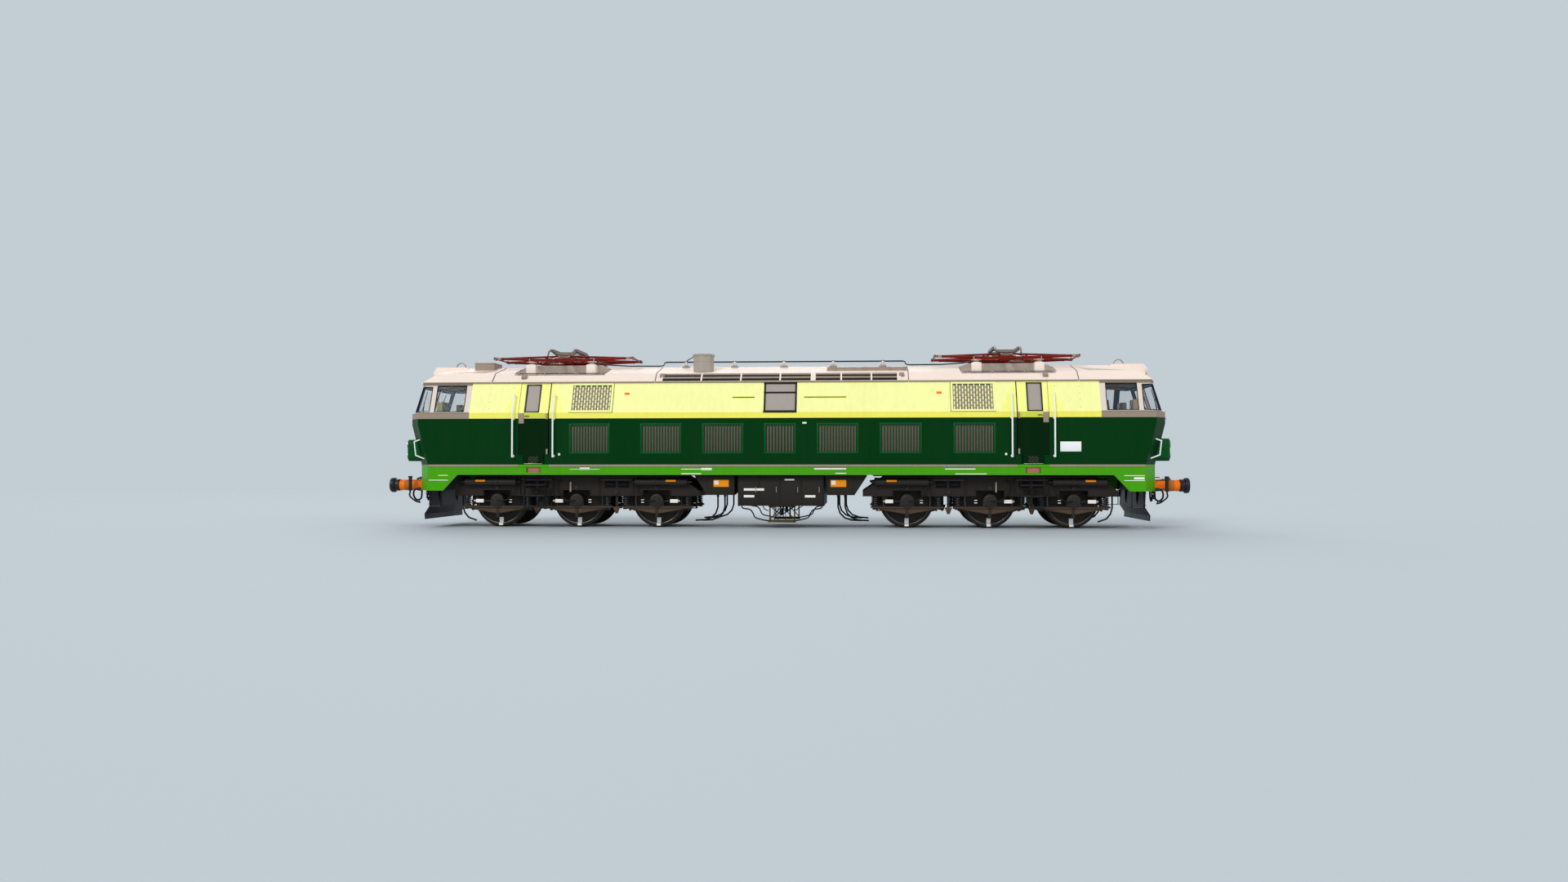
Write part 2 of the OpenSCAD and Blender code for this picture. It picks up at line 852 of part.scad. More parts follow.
// The curved handle on the corner facet behind a lamp pod.
module lamp_rail() {
  back = [-sin(facet_a), cos(facet_a), 0] * 330;
  difference() {
    bent_bar([
      [chin_x + 60, front_w, lamp_z1 + 20] + back, [chin_x + 280, front_w, lamp_z1 - 60] + back,
      [chin_x + 240, front_w, lamp_z0 + 140] + back, [chin_x - 20, front_w, lamp_z0 + 40] + back
    ], rail_r);
    behind_front(front_line(0));
  }
}

tread_zs = [520, 780, 1040];
step_x0 = 5630;
step_x1 = 6160;

module door_steps() {
  color("dimgray") four_corners() {
    for (x = [step_x0, step_x1 - 12]) block([x, inner_w - 90, tread_zs[0]], [x + 12, inner_w - 20, skirt_z]);
    for (z = tread_zs) block([step_x0, inner_w - 170, z - 12], [step_x1, inner_w + 40, z]);
    for (post = [[8180, apron_z + 100], [8455, apron_z]])
      block([post[0], inner_w - 50, 500], [post[0] + 12, inner_w, post[1]]);
    block([8180, inner_w - 130, 500], [8467, inner_w + 40, 512]);
  }
}

box_top_z = deck_z0;
side_box_z0 = 790;

module equipment_boxes() {
  color("dimgray") {
    block([-1020, -1300, 534], [1020, 1300, box_top_z]);
    four_corners() along_y(700, 1310) polygon([
      [1110, side_box_z0], [1755, side_box_z0], [2050, 1240], [2050, box_top_z], [1110, box_top_z]
    ]);
  }
}

// The sand pipes of the inner wheels, two below each side box.
module sand_pipes() {
  color("dimgray") four_corners() for (x = [1360, 1530]) bent_bar([
    [x, 1000, side_box_z0], [x, 1000, 500], [x + 50, 985, 350], [x + 160, 950, 240], [x + 330, 890, 185],
    [x + 560, 800 - (1530 - x) / 3, 170]
  ], 20);
}

module magnet_frame() {
  color("gray") both_sides() {
    block([-310, 900, 130], [345, 1060, 190]);
    for (x = [-290, 305]) block([x, 960, 189], [x + 30, 1000, 534]);
    bar([-275, 980, 200], [10, 980, 520], 12);
    bar([10, 980, 520], [320, 980, 200], 12);
    block([-310, 955, 500], [345, 1005, 534]);
  }
}

// ---------------------------------------------------------------- roof fittings

busbar_z = 4080;

module roof_equipment() {
  color("silver") difference() {
    union() {
      busbar();
      translate([-1930, -620, shoulder_z - 60]) cylinder(h = 530, r = 250);
    }
    along_x(-mid_seam_x, mid_seam_x) roof_section(0);
  }
  // Roof box of one cab and the arches on both ridges.
  color("linen") difference() {
    union() {
      block([-7730, -330, ridge_z - 100], [-7240, 330, 4060]);
      both_ends() ridge_arch();
    }
    both_ends() {
      cab_roof_solid(0);
      lamp_cowl();
    }
  }
  // Cable duct.
  color("tan") difference() {
    block([1090, -680, shoulder_z], [3020, -560, shoulder_z + 130]);
    along_x(-mid_seam_x, mid_seam_x) roof_section(0);
  }
}

// The bar along the middle roof on its insulators.
module busbar() {
  for (x = [-2450, -1230, 0, 1220, 2450]) {
    translate([x, 0, ridge_z - 30]) cylinder(h = busbar_z - ridge_z + 20, r = 45);
    translate([x, 0, ridge_z - 30]) cylinder(h = 45, r = 90);
  }
  x_cylinder(0, busbar_z, 18, -2960, 2960);
}

module ridge_arch() {
  arch_x = 8190;
  arch_r = 130;
  difference() {
    y_cylinder(arch_x, cowl_z, arch_r, -20, 20);
    y_cylinder(arch_x, cowl_z, arch_r - 24, -30, 30);
  }
}

// ---------------------------------------------------------------- pantographs

foot_top_z = 3930;
base_z0 = panto_z - 35;
base_t = 60;

// The feet, the insulators and the base frame with its bearings.
module pantograph_bases() {
  color("firebrick") both_ends() translate([panto_x, 0, 0]) {
    for (x = [-foot_dx, foot_dx]) both_sides() {
      block([x - 90, foot_y - 90, well_z], [x + 90, foot_y + 90, foot_top_z]);
      translate([x, foot_y, foot_top_z - 1]) cylinder(h = base_z0 - foot_top_z + 2, r = 60);
      for (i = [0:2]) translate([x, foot_y, foot_top_z + 15 + i * 36]) cylinder(h = 14, r = 85);
    }
    both_sides() difference() {
      union() {
        block([-foot_dx - 60, foot_y - 30, base_z0], [foot_dx + 60, foot_y + 30, base_z0 + base_t]);
        block([-shaft_dx - 80, bearing_y0, base_z0 - 15], [shaft_dx + 80, foot_y - 29, panto_z + 50]);
      }
      for (x = [-shaft_dx, shaft_dx]) y_cylinder(x, panto_z, shaft_r + fit, 0, foot_y - 40);
    }
    for (x = [-foot_dx, foot_dx]) block([x - 25, -foot_y, base_z0 - 15], [x + 25, foot_y, base_z0 + 10]);
  }
}

shaft_r = 25;
pin_r = 20;
bearing_y0 = 660;
eye_r = 36;
tube_r = 30;
upper_tube_r = 22;

// A lower arm that leans towards +X from its shaft; its far eyes hold the upper arm's pin.
module lower_arm() {
  color("firebrick") {
    y_cylinder(shaft_dx, panto_z, shaft_r, -foot_y + 45, foot_y - 45);
    y_cylinder(shaft_dx, panto_z, shaft_r + 12, -lower_y - 35, lower_y + 35);
    both_sides() difference() {
      union() {
        bar([shaft_dx, lower_y, panto_z], [knuckle_dx, lower_y, panto_z + knuckle_dz], tube_r);
        y_cylinder(knuckle_dx, panto_z + knuckle_dz, eye_r, lower_y - 28, lower_y + 28);
      }
      y_cylinder(knuckle_dx, panto_z + knuckle_dz, pin_r + fit, 0, 2 * lower_y);
    }
    tie = 0.25;
    y_cylinder(shaft_dx + tie * (knuckle_dx - shaft_dx), panto_z + tie * knuckle_dz, 18, -lower_y, lower_y);
  }
}

// The upper arm of the same side, folded back over the lower arm.
module upper_arm() {
  color("firebrick") {
    y_cylinder(knuckle_dx, panto_z + knuckle_dz, pin_r, -lower_y - 40, lower_y + 40);
    y_cylinder(shaft_dx, head_z, pin_r - 2, -upper_y - 30, upper_y + 30);
    both_sides() {
      bar([knuckle_dx, upper_y, panto_z + knuckle_dz], [shaft_dx, upper_y, head_z], upper_tube_r);
      y_cylinder(knuckle_dx, panto_z + knuckle_dz, eye_r, upper_y - 26, upper_y + 26);
    }
    tie = 0.25;
    y_cylinder(shaft_dx + tie * (knuckle_dx - shaft_dx), head_z - tie * knuckle_dz, 16, -upper_y, upper_y);
  }
}

strip_dx = 300;
strip_y = 560;
horn_y = 930;
open_pivot_gap = 2;

// The collector head: two strips with drooping horns on two side plates.
module pantograph_head(x, dir) {
  plate_y = upper_y - 50;
  color("peru") translate([x, 0, 0]) {
    both_sides() difference() {
      along_y(plate_y - 10, plate_y + 10) polygon([
        [-strip_dx - 30, head_z + 110], [-shaft_dx - 40, head_z - 32], [shaft_dx + 40, head_z - 32],
        [strip_dx + 30, head_z + 110]
      ]);
      y_cylinder(dir * shaft_dx, head_z, pin_r - 2 + fit, 0, 2 * upper_y);
      y_cylinder(-dir * shaft_dx, head_z, pin_r - 2 + open_pivot_gap, 0, 2 * upper_y);
    }
    for (side = [-1, 1]) translate([side * strip_dx, 0, 0]) {
      block([-30, -strip_y, head_z + 105], [30, strip_y, head_z + 175]);
      both_sides() bent_bar([[0, strip_y - 20, head_z + 140], [0, strip_y + 160, head_z + 130],
        [0, horn_y - 60, head_z + 60], [0, horn_y, head_z - 20]], 20);
    }
  }
}

// Puts an arm on pantograph 1 (at -X) or 2, leaning to the left or the right.
module at_pantograph(end, dir) {
  translate([end * panto_x, 0, 0]) scale_x(dir) children();
}

module scale_x(dir) {
  if (dir > 0) children();
  else mirror([1, 0, 0]) children();
}

// ---------------------------------------------------------------- doors

// The leaf of the door on the +X, +Y corner, with its window and hinge arms.
module cab_door() {
  color("darkgreen") {
    difference() {
      intersection() {
        along_x(leaf_x0, leaf_x1) side_skin(5, 5 + leaf_t, sole_z + door_gap, gutter_z - door_gap);
        union() {
          block([0, 0, door_narrow_z], [far, far, far]);
          block([narrow_x0, 0, 0], [narrow_x1, far, door_narrow_z + 1]);
        }
      }
      block([leaf_x0 + 225, 0, waist_z + 20], [leaf_x1 - 135, far, gutter_z - 40]);
    }
    for (z = hinge_zs) translate([0, 0, z - hinge_plate_t / 2]) difference() {
      union() {
        linear_extrude(hinge_plate_t) polygon([
          [hinge_x - 55, inner_w + 8], [hinge_x - 3, inner_w + 8],
          [hinge_x - 3, hinge_y], [hinge_x - 25, hinge_y], [hinge_x - 55, hinge_y + 60]
        ]);
        translate([hinge_x, hinge_y, 0]) cylinder(h = hinge_plate_t, r = 25);
      }
      translate([hinge_x, hinge_y, -1]) cylinder(h = hinge_plate_t + 2, r = hinge_r + fit);
    }
  }
}

// ---------------------------------------------------------------- bogies

// Puts a piece drawn around the king pin on bogie 1 (at -X) or 2.
module at_bogie(end) {
  scale_x(end) translate([pivot_x, 0, 0]) children();
}

arch_dx = 330;
arch_z = 900;
bracket_dx = 470;
spring_z0 = 526;
box_y0 = 900;
box_y1 = 1160;
cradle_z0 = 350;
stem_z0 = 240;
transom_dx = 920;

// The lower edge of a side beam, from the outer end to the inner one, with an arch over each axle.
function beam_edge() = [for (x = reversed(axles)) each [
  [x + arch_dx, beam_z0], [x + arch_dx, arch_z], [x - arch_dx, arch_z], [x - arch_dx, beam_z0]
]];

module bogie_frame() {
  color("dimgray") difference() {
    union() {
      both_sides() {
        along_y(beam_y0, beam_y1) polygon(concat([
          [-bogie_half, beam_z0], [-bogie_half, beam_z0 + 120], [-bogie_half + 530, bogie_top_z],
          [bogie_half - 530, bogie_top_z], [bogie_half, beam_z0 + 120], [bogie_half, beam_z0]
        ], beam_edge()));
        for (i = [0:2]) guide_bracket(axles[i] + link_sides[i] * (bracket_dx + 35));
        block([-200, beam_y0, bogie_top_z - 1], [200, beam_y1, bolster_z - 5]);
      }
      for (x = [-bogie_half, bogie_half - 130])
        block([x, -beam_y0 - 1, beam_z0], [x + 130, beam_y0 + 1, beam_z0 + 120]);
      both_ends() block([transom_dx, -beam_y0 - 1, arch_z], [transom_dx + 120, beam_y0 + 1, bogie_top_z]);
      block([-transom_dx - 1, -250, bogie_top_z - 170], [transom_dx + 1, 250, bogie_top_z]);
      translate([0, 0, bogie_top_z - 240]) cylinder(h = 240, r = 200);
    }
    translate([0, 0, bogie_top_z - 241]) cylinder(h = 300, r = king_r + fit);
  }
}

module guide_bracket(x) {
  block([x - 35, beam_y0 + 40, axle_z - 60], [x + 35, beam_y1 - 40, beam_z0 + 1]);
}

// The axle boxes with their spring wings, guide links and cradles.
module axleboxes() {
  color("dimgray") both_sides() for (i = [0:2]) translate([axles[i], 0, 0]) {
    difference() {
      union() {
        y_cylinder(0, axle_z, 160, box_y0, box_y1);
        block([-170, beam_y0 + 10, spring_z0 - 46], [170, beam_y1 - 10, axle_z]);
        block([-spring_dx - 110, beam_y0 + 10, spring_z0 - 46], [spring_dx + 110, beam_y1 - 10, spring_z0]);
        cradle();
      }
      y_cylinder(0, axle_z, journal_r + fit, 0, 1125);
    }
    scale_x(link_sides[i]) x_cylinder((beam_y0 + beam_y1) / 2, axle_z - 20, 22, 140, bracket_dx);
  }
}

// The shallow triangle under an axle box, with a stem in its middle.
module cradle() {
  top = spring_z0 - 45;
  along_y(1010, 1090) polygon([
    [-790, top], [790, top], [70, cradle_z0], [35, cradle_z0], [35, stem_z0], [-35, stem_z0],
    [-35, cradle_z0], [-70, cradle_z0]
  ]);
}

module coil_springs() {
  color("gray") both_sides() for (x = axles) for (dx = [-spring_dx, spring_dx])
    translate([x + dx, (beam_y0 + beam_y1) / 2, spring_z0]) cylinder(h = beam_z0 - spring_z0, r = spring_r);
}

// The three axle-hung motors. Each leans on a transom with its nose.
module traction_motors() {
  color("dimgray") for (i = [0:2]) translate([axles[i], 0, 0]) scale_x(i == 2 ? -1 : 1) difference() {
    nose = i == 1 ? [motor_dx, transom_dx] : [motor_dx, axle_pitch - transom_dx - 120];
    union() {
      y_cylinder(motor_dx, axle_z + 50, motor_r, -560, 560);
      y_cylinder(0, axle_z, 150, -600, 600);
      block([0, -500, axle_z - 80], [motor_dx, 500, axle_z + 90]);
      block([nose[0], -150, arch_z], [nose[1], 150, arch_z + 100]);
    }
    y_cylinder(0, axle_z, axle_r + fit, -far, far);
  }
}

shoe_gap = 11;
hanger_dx = 690;

// Shoes, hangers, brake cylinders and the outer sand pipes.
module brake_gear() {
  color("gray") both_sides() {
    for (x = axles) translate([x, 0, 0]) both_ends() {
      intersection() {
        difference() {
          y_cylinder(0, axle_z, hanger_dx + 5, 722, 805);
          y_cylinder(0, axle_z, tread_r + shoe_gap, 700, 900);
        }
        block([400, 700, axle_z - 110], [hanger_dx + 1, 900, axle_z + 110]);
      }
      block([hanger_dx, 740, axle_z - 60], [hanger_dx + 35, 785, 1000]);
      block([hanger_dx, 740, 950], [hanger_dx + 35, beam_y0, 1000]);
    }
    both_ends() x_cylinder(beam_y1 + 85, 1100, 85, axle_pitch - 500, bogie_half - 300);
    bent_bar([
      [bogie_half - 80, 750, beam_z0], [bogie_half - 80, 750, 480], [bogie_half - 120, 750, 340],
      [bogie_half - 220, 750, 220], [bogie_half - 420, 750, 150]
    ], 20);
  }
}

// One body: the axle with both wheels, turned from a single outline.
module wheelset(x) {
  back = wheel_back_y;
  face = wheel_back_y + wheel_w;
  side = [
    [0, 1120], [journal_r, 1120], [journal_r, 880], [axle_r, 880], [axle_r, face + 15], [150, face + 15],
    [150, back + 90], [tread_r - 65, back + 80], [tread_r - 65, face], [tread_r - 5, face],
    [tread_r + 3, back + 34], [flange_r, back + 22], [flange_r, back + 8], [tread_r + 10, back],
    [tread_r - 65, back], [tread_r - 65, back + 40], [150, back + 30], [150, back - 30], [axle_r, back - 30]
  ];
  color("dimgray") translate([x, 0, axle_z]) rotate([90, 0, 0]) rotate_extrude()
    polygon(concat(side, [for (p = reversed(side)) [p[0], -p[1]]]));
}

// ---------------------------------------------------------------- nodes

underframe();
side_skirts();
side_walls();
cab_shells();
cab_roofs();
pantograph_roofs();
middle_roof();
windows();
side_louvres();
cab_linings();
driver_desks();
seat_frames();
seat_cushions();
machine_block();
headlamps();
buffers();
draw_gear();
snow_ploughs();
brake_hoses();
handrails();
door_steps();
equipment_boxes();
sand_pipes();
magnet_frame();
roof_equipment();
pantograph_bases();
mirror([1, 0, 0]) mirror([0, 1, 0]) cab_door();  // cab_door_1
mirror([0, 1, 0]) cab_door();  // cab_door_2
mirror([1, 0, 0]) cab_door();  // cab_door_3
cab_door();  // cab_door_4
at_bogie(-1) bogie_frame();  // bogie_frame_1
at_bogie(-1) axleboxes();  // axleboxes_1
at_bogie(-1) coil_springs();  // coil_springs_1
at_bogie(-1) traction_motors();  // traction_motors_1
at_bogie(-1) brake_gear();  // brake_gear_1
at_bogie(1) bogie_frame();  // bogie_frame_2
at_bogie(1) axleboxes();  // axleboxes_2
at_bogie(1) coil_springs();  // coil_springs_2
at_bogie(1) traction_motors();  // traction_motors_2
at_bogie(1) brake_gear();  // brake_gear_2
wheelset(-pivot_x - axle_pitch);  // wheelset_1
wheelset(-pivot_x);  // wheelset_2
wheelset(-pivot_x + axle_pitch);  // wheelset_3
wheelset(pivot_x - axle_pitch);  // wheelset_4
wheelset(pivot_x);  // wheelset_5
wheelset(pivot_x + axle_pitch);  // wheelset_6
at_pantograph(-1, 1) lower_arm();  // lower_arm_1a
at_pantograph(-1, -1) lower_arm();  // lower_arm_1b
at_pantograph(-1, 1) upper_arm();  // upper_arm_1a
at_pantograph(-1, -1) upper_arm();  // upper_arm_1b
pantograph_head(-1 * panto_x, 1);  // pantograph_head_1
at_pantograph(1, 1) lower_arm();  // lower_arm_2a
at_pantograph(1, -1) lower_arm();  // lower_arm_2b
at_pantograph(1, 1) upper_arm();  // upper_arm_2a
at_pantograph(1, -1) upper_arm();  // upper_arm_2b
pantograph_head(1 * panto_x, 1);  // pantograph_head_2
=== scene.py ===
"""Looks of a two-cab electric locomotive: finishes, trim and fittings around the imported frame.

Metres. +X runs along the locomotive, -Y is its near side and z = 0 is the top of the rails.
"""

from __future__ import annotations

import logging
import math
from dataclasses import dataclass
from enum import Enum
from functools import partial
from itertools import product
from typing import Callable, Iterable, Sequence

import bmesh
import bpy
from mathutils import Matrix, Vector

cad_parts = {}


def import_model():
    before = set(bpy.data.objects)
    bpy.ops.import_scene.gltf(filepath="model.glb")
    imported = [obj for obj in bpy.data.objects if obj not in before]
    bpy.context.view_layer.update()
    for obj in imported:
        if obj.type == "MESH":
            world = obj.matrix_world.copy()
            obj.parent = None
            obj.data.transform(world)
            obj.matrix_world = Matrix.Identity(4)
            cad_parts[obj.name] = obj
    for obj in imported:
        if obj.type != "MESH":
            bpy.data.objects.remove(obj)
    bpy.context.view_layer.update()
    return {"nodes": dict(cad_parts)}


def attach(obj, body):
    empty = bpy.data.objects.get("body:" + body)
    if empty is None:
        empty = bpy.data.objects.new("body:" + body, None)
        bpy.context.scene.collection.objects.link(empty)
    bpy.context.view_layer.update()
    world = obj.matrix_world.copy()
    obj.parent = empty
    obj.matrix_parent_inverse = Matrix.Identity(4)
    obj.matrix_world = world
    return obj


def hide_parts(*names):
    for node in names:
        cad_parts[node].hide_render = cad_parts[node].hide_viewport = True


LOG = logging.getLogger("locomotive")
UP, NEAR, AHEAD = (0, 0, 1), (0, -1, 0), (1, 0, 0)
Point = tuple[float, float, float]
Span = tuple[float, float]
Strip = tuple[float, float, float, float]
Colour = tuple[float, float, float]
Socket = bpy.types.NodeSocket
Vert = bmesh.types.BMVert


def paint(code: str) -> Colour:
    """Turns a six-digit display colour into linear light.

    Args:
        code: red, green and blue as hexadecimal digits.

    Returns:
        The linear red, green and blue.
    """
    values = [int(code[i : i + 2], 16) / 255 for i in (0, 2, 4)]
    return tuple(v / 12.92 if v <= 0.04045 else ((v + 0.055) / 1.055) ** 2.4 for v in values)


# ------------------------------------------------------------------ finishes


class Grain(Enum):
    """How a surface's fine texture runs."""

    SPRAYED = (420.0, (1.0, 1.0, 1.0))
    CAST = (95.0, (1.0, 1.0, 1.0))
    BRUSHED = (160.0, (0.06, 1.0, 1.0))
    TURNED = (120.0, (1.0, 0.08, 1.0))
    WOVEN = (700.0, (1.0, 1.0, 1.0))


# The dirt's textures: features to a metre, stretch on X, Y and Z, and octaves.
BROAD_DIRT = (0.9, (1.0, 1.0, 0.5), 5.0)
STREAKED_DIRT = (7.0, (1.6, 1.6, 0.16), 3.0)
# Values that dirt fades in between, and heights that road dust fades out between.
DIRT_SPAN = (0.16, 0.42)
DUST_SPAN = (0.2, 1.5)
# Reliefs are in metres; a face looks inwards when its normal's outward part is below INWARD.
COAT_ROUGHNESS = 0.12
RELIEF_DEPTH = 0.004
THREAD_TURNS = 900.0
THREAD_DEPTH = 0.002
INWARD = -0.4


class Graph:
    """A material's node tree, with short ways to add and join nodes."""

    def __init__(self, name: str) -> None:
        """Starts an empty tree with a Principled shader.

        Args:
            name: the material's name.
        """
        self.material = bpy.data.materials.new(name)
        self.material.use_nodes = True
        self.tree = self.material.node_tree
        self.tree.nodes.clear()
        self.shader = self.tree.nodes.new("ShaderNodeBsdfPrincipled")
        output = self.tree.nodes.new("ShaderNodeOutputMaterial")
        self.join(self.shader.outputs[0], output.inputs["Surface"])
        coordinates = self.tree.nodes.new("ShaderNodeTexCoord")
        self.place, self.facing = coordinates.outputs["Object"], coordinates.outputs["Normal"]

    def join(self, source: Socket, target: Socket) -> None:
        """Links one socket to another."""
        self.tree.links.new(source, target)

    def put(self, value: object, target: Socket) -> None:
        """Links a socket, or sets a plain value, on an input."""
        if isinstance(value, Socket):
            self.join(value, target)
        elif isinstance(value, tuple) and len(value) == 3 and target.type == "RGBA":
            target.default_value = (*value, 1.0)
        else:
            target.default_value = value

    def noise(self, scale: float, stretch: Point = (1.0, 1.0, 1.0), detail: float = 4.0) -> Socket:
        """Adds a noise texture over the object's own place.

        Args:
            scale: how many features there are to a metre.
            stretch: factors on X, Y and Z.
            detail: octaves of the noise.

        Returns:
            The noise's value.
        """
        mapping = self.tree.nodes.new("ShaderNodeMapping")
        mapping.inputs["Scale"].default_value = stretch
        self.join(self.place, mapping.inputs["Vector"])
        node = self.tree.nodes.new("ShaderNodeTexNoise")
        node.inputs["Scale"].default_value = scale
        node.inputs["Detail"].default_value = detail
        self.join(mapping.outputs[0], node.inputs["Vector"])
        return node.outputs["Fac"]

    def math(self, operation: str, a: object, b: object = 0.0, clamp: bool = False) -> Socket:
        """Adds a Math node and returns its value."""
        node = self.tree.nodes.new("ShaderNodeMath")
        node.operation = operation
        node.use_clamp = clamp
        self.put(a, node.inputs[0])
        self.put(b, node.inputs[1])
        return node.outputs[0]

    def span(self, value: object, low: float, high: float, to_low: float = 0.0,
             to_high: float = 1.0) -> Socket:
        """Maps a span of a value onto another span, clamped at both ends."""
        node = self.tree.nodes.new("ShaderNodeMapRange")
        for index, entry in enumerate((value, low, high, to_low, to_high)):
            self.put(entry, node.inputs[index])
        return node.outputs[0]

    def mix(self, factor: object, a: object, b: object) -> Socket:
        """Mixes two colours by a factor and returns the colour."""
        node = self.tree.nodes.new("ShaderNodeMix")
        node.data_type = "RGBA"
        self.put(factor, node.inputs["Factor"])
        self.put(a, node.inputs["A"])
        self.put(b, node.inputs["B"])
        return node.outputs["Result"]

    def axes(self, vector: Socket | None = None) -> tuple[Socket, ...]:
        """Splits a vector, by default the place, into its X, Y and Z values."""
        node = self.tree.nodes.new("ShaderNodeSeparateXYZ")
        self.join(vector or self.place, node.inputs[0])
        return tuple(node.outputs)

    def relief(self, height: Socket, strength: float, distance: float) -> None:
        """Bumps the surface by a height."""
        node = self.tree.nodes.new("ShaderNodeBump")
        node.inputs["Strength"].default_value = strength
        node.inputs["Distance"].default_value = distance
        self.join(height, node.inputs["Height"])
        self.join(node.outputs[0], self.shader.inputs["Normal"])


@dataclass(frozen=True)
class Finish:
    """One surface finish, with its own dirt, wear and grain.

    Attributes:
        name: name of the material.
        slot: material slot of the record that it belongs to; not used.
        colour: linear base colour.
        roughness: middle roughness.
        metallic: 1 for bare metal.
        grain: how the fine texture runs.
        relief: strength of the fine bump.
        dirt: how much of the dirt's colour mixes in.
        dirt_colour: linear colour of the dirt.
        dust: how much road dust gathers towards the rail.
        coat: clear coat over the paint.
        gloss: strength of the plain reflection, where 0.5 is common plastic.
        glow: strength of a lamp's own light.
    """

    name: str
    slot: str
    colour: Colour
    roughness: float = 0.42
    metallic: float = 0.0
    grain: Grain = Grain.SPRAYED
    relief: float = 0.06
    dirt: float = 0.16
    dirt_colour: Colour = (0.035, 0.03, 0.025)
    dust: float = 0.0
    coat: float = 0.0
    gloss: float = 0.2
    glow: float = 0.0

    def base(self, graph: Graph) -> object:
        """Gives the clean colour, before dirt."""
        return self.colour

    def material(self) -> bpy.types.Material:
        """Builds the finish's material, or finds the one already built."""
        name = f"{self.name}_finish"
        found = bpy.data.materials.get(name)
        if found:
            return found
        graph = Graph(name)
        shader = graph.shader.inputs
        broad = graph.noise(*BROAD_DIRT)
        streak = graph.noise(*STREAKED_DIRT)
        patch = graph.span(graph.math("MULTIPLY", broad, streak), *DIRT_SPAN)
        amount = graph.math("MULTIPLY", patch, self.dirt)
        if self.dust:
            low = graph.span(graph.axes()[2], *DUST_SPAN, self.dust, 0.0)
            amount = graph.math("ADD", amount, graph.math("MULTIPLY", low, broad), True)
        graph.put(graph.mix(amount, self.base(graph), self.dirt_colour), shader["Base Color"])
        scale, stretch = self.grain.value
        fine = graph.noise(scale, stretch, 2.0)
        wear = graph.math("ADD", graph.math("MULTIPLY", patch, 0.12), graph.math("MULTIPLY", fine, 0.10))
        graph.put(graph.math("ADD", wear, self.roughness - 0.08, True), shader["Roughness"])
        shader["Metallic"].default_value = self.metallic
        shader["Coat Weight"].default_value = self.coat
        shader["Coat Roughness"].default_value = COAT_ROUGHNESS
        shader["Specular IOR Level"].default_value = self.gloss
        if self.glow:
            shader["Emission Color"].default_value = (*self.colour, 1.0)
            shader["Emission Strength"].default_value = self.glow
        if self.grain is Grain.WOVEN:
            self.weave(graph)
        else:
            graph.relief(fine, self.relief, RELIEF_DEPTH)
        graph.material.diffuse_color = (*self.colour, 1.0)
        return graph.material

    def weave(self, graph: Graph) -> None:
        """Bumps the surface with crossing threads."""
        threads = [graph.math("SINE", graph.math("MULTIPLY", axis, THREAD_TURNS)) for axis in graph.axes()]
        crossing = graph.math("MULTIPLY", threads[0], threads[1])
        graph.relief(graph.math("ADD", crossing, threads[2]), 0.5, THREAD_DEPTH)
        graph.shader.inputs["Sheen Weight"].default_value = 0.3


@dataclass(frozen=True)
class Zoned(Finish):
    """A finish whose colour changes inside some boxes.

    Attributes:
        zones: lowest corner, highest corner and colour of each box.
    """

    zones: tuple[tuple[Point, Point, Colour], ...] = ()

    def base(self, graph: Graph) -> object:
        """Gives the colour of the box that a point lies in, or the finish's own."""
        colour: object = self.colour
        axes = graph.axes()
        for low, high, inside in self.zones:
            mask: object = 1.0
            for axis, a, b in zip(axes, low, high):
                off = graph.math("ABSOLUTE", graph.math("SUBTRACT", axis, (a + b) / 2))
                mask = graph.math("MULTIPLY", mask, graph.math("LESS_THAN", off, (b - a) / 2))
            colour = graph.mix(mask, colour, inside)
        return colour


@dataclass(frozen=True)
class Livery(Finish):
    """The body's paint in bands that change with height, one band being painted shade, and bands of painted
    shade on the cab past the last side panel.

    Attributes:
        bands: pairs of a height and the colour above it, from low to high; the yellow band is the cream
            darkened as painted shade.
        cab_shade_bands: the same, past cab_from, all painted shade of the cream: beige on the upright strip
            and above the window heads, pale beige on the pillars.
        cab_from: distance from the middle where the cab's shade bands start.
        inner_shade: colour of the navy painted shade on the walls' inner faces.
    """

    bands: tuple[tuple[float, Colour], ...] = ()
    cab_shade_bands: tuple[tuple[float, Colour], ...] = ()
    cab_from: float = 7.49
    inner_shade: Colour = (0.02, 0.045, 0.12)

    def banded(self, graph: Graph, height: object, bands: Iterable[tuple[float, Colour]]) -> object:
        """Stacks bands of colour over the finish's own colour."""
        colour: object = self.colour
        for level, above in bands:
            step = graph.math("GREATER_THAN", height, level)
            colour = graph.mix(step, colour, above)
        return colour

    def base(self, graph: Graph) -> object:
        """Gives the banded colour outside and a navy painted shade on faces that look inwards."""
        x, y, z = graph.axes()
        far = graph.math("GREATER_THAN", graph.math("ABSOLUTE", x), self.cab_from)
        side = graph.mix(far, self.banded(graph, z, self.bands), self.banded(graph, z, self.cab_shade_bands))
        # Faces that look inwards get a navy painted shade.
        normal = graph.axes(graph.facing)
        across = graph.math("MULTIPLY", graph.math("SIGN", y), normal[1])
        along = graph.math("MULTIPLY", graph.math("SIGN", x), normal[0])
        inner = graph.math("MAXIMUM", graph.math("LESS_THAN", across, INWARD),
                           graph.math("LESS_THAN", along, INWARD))
        return graph.mix(inner, side, self.inner_shade)


DARK_GREEN_TINT = paint("003811")
YELLOW_TINT = paint("FFF76A")
CREAM_TINT = paint("FFFFAA")
BEIGE_TINT = paint("A09080")
PILLAR_TINT = paint("E8D8CC")
ORANGE_TINT = paint("FF7A00")
LOUVRE_TINT = paint("00501F")
ROOF_TINT = paint("FCEADC")
SILVER_TINT = paint("B0A698")
BOGIE_TINT = paint("2C2824")
CAST_TINT = paint("262422")
CRADLE_TINT = paint("54402C")
BRAKE_DUST = (0.045, 0.032, 0.022)
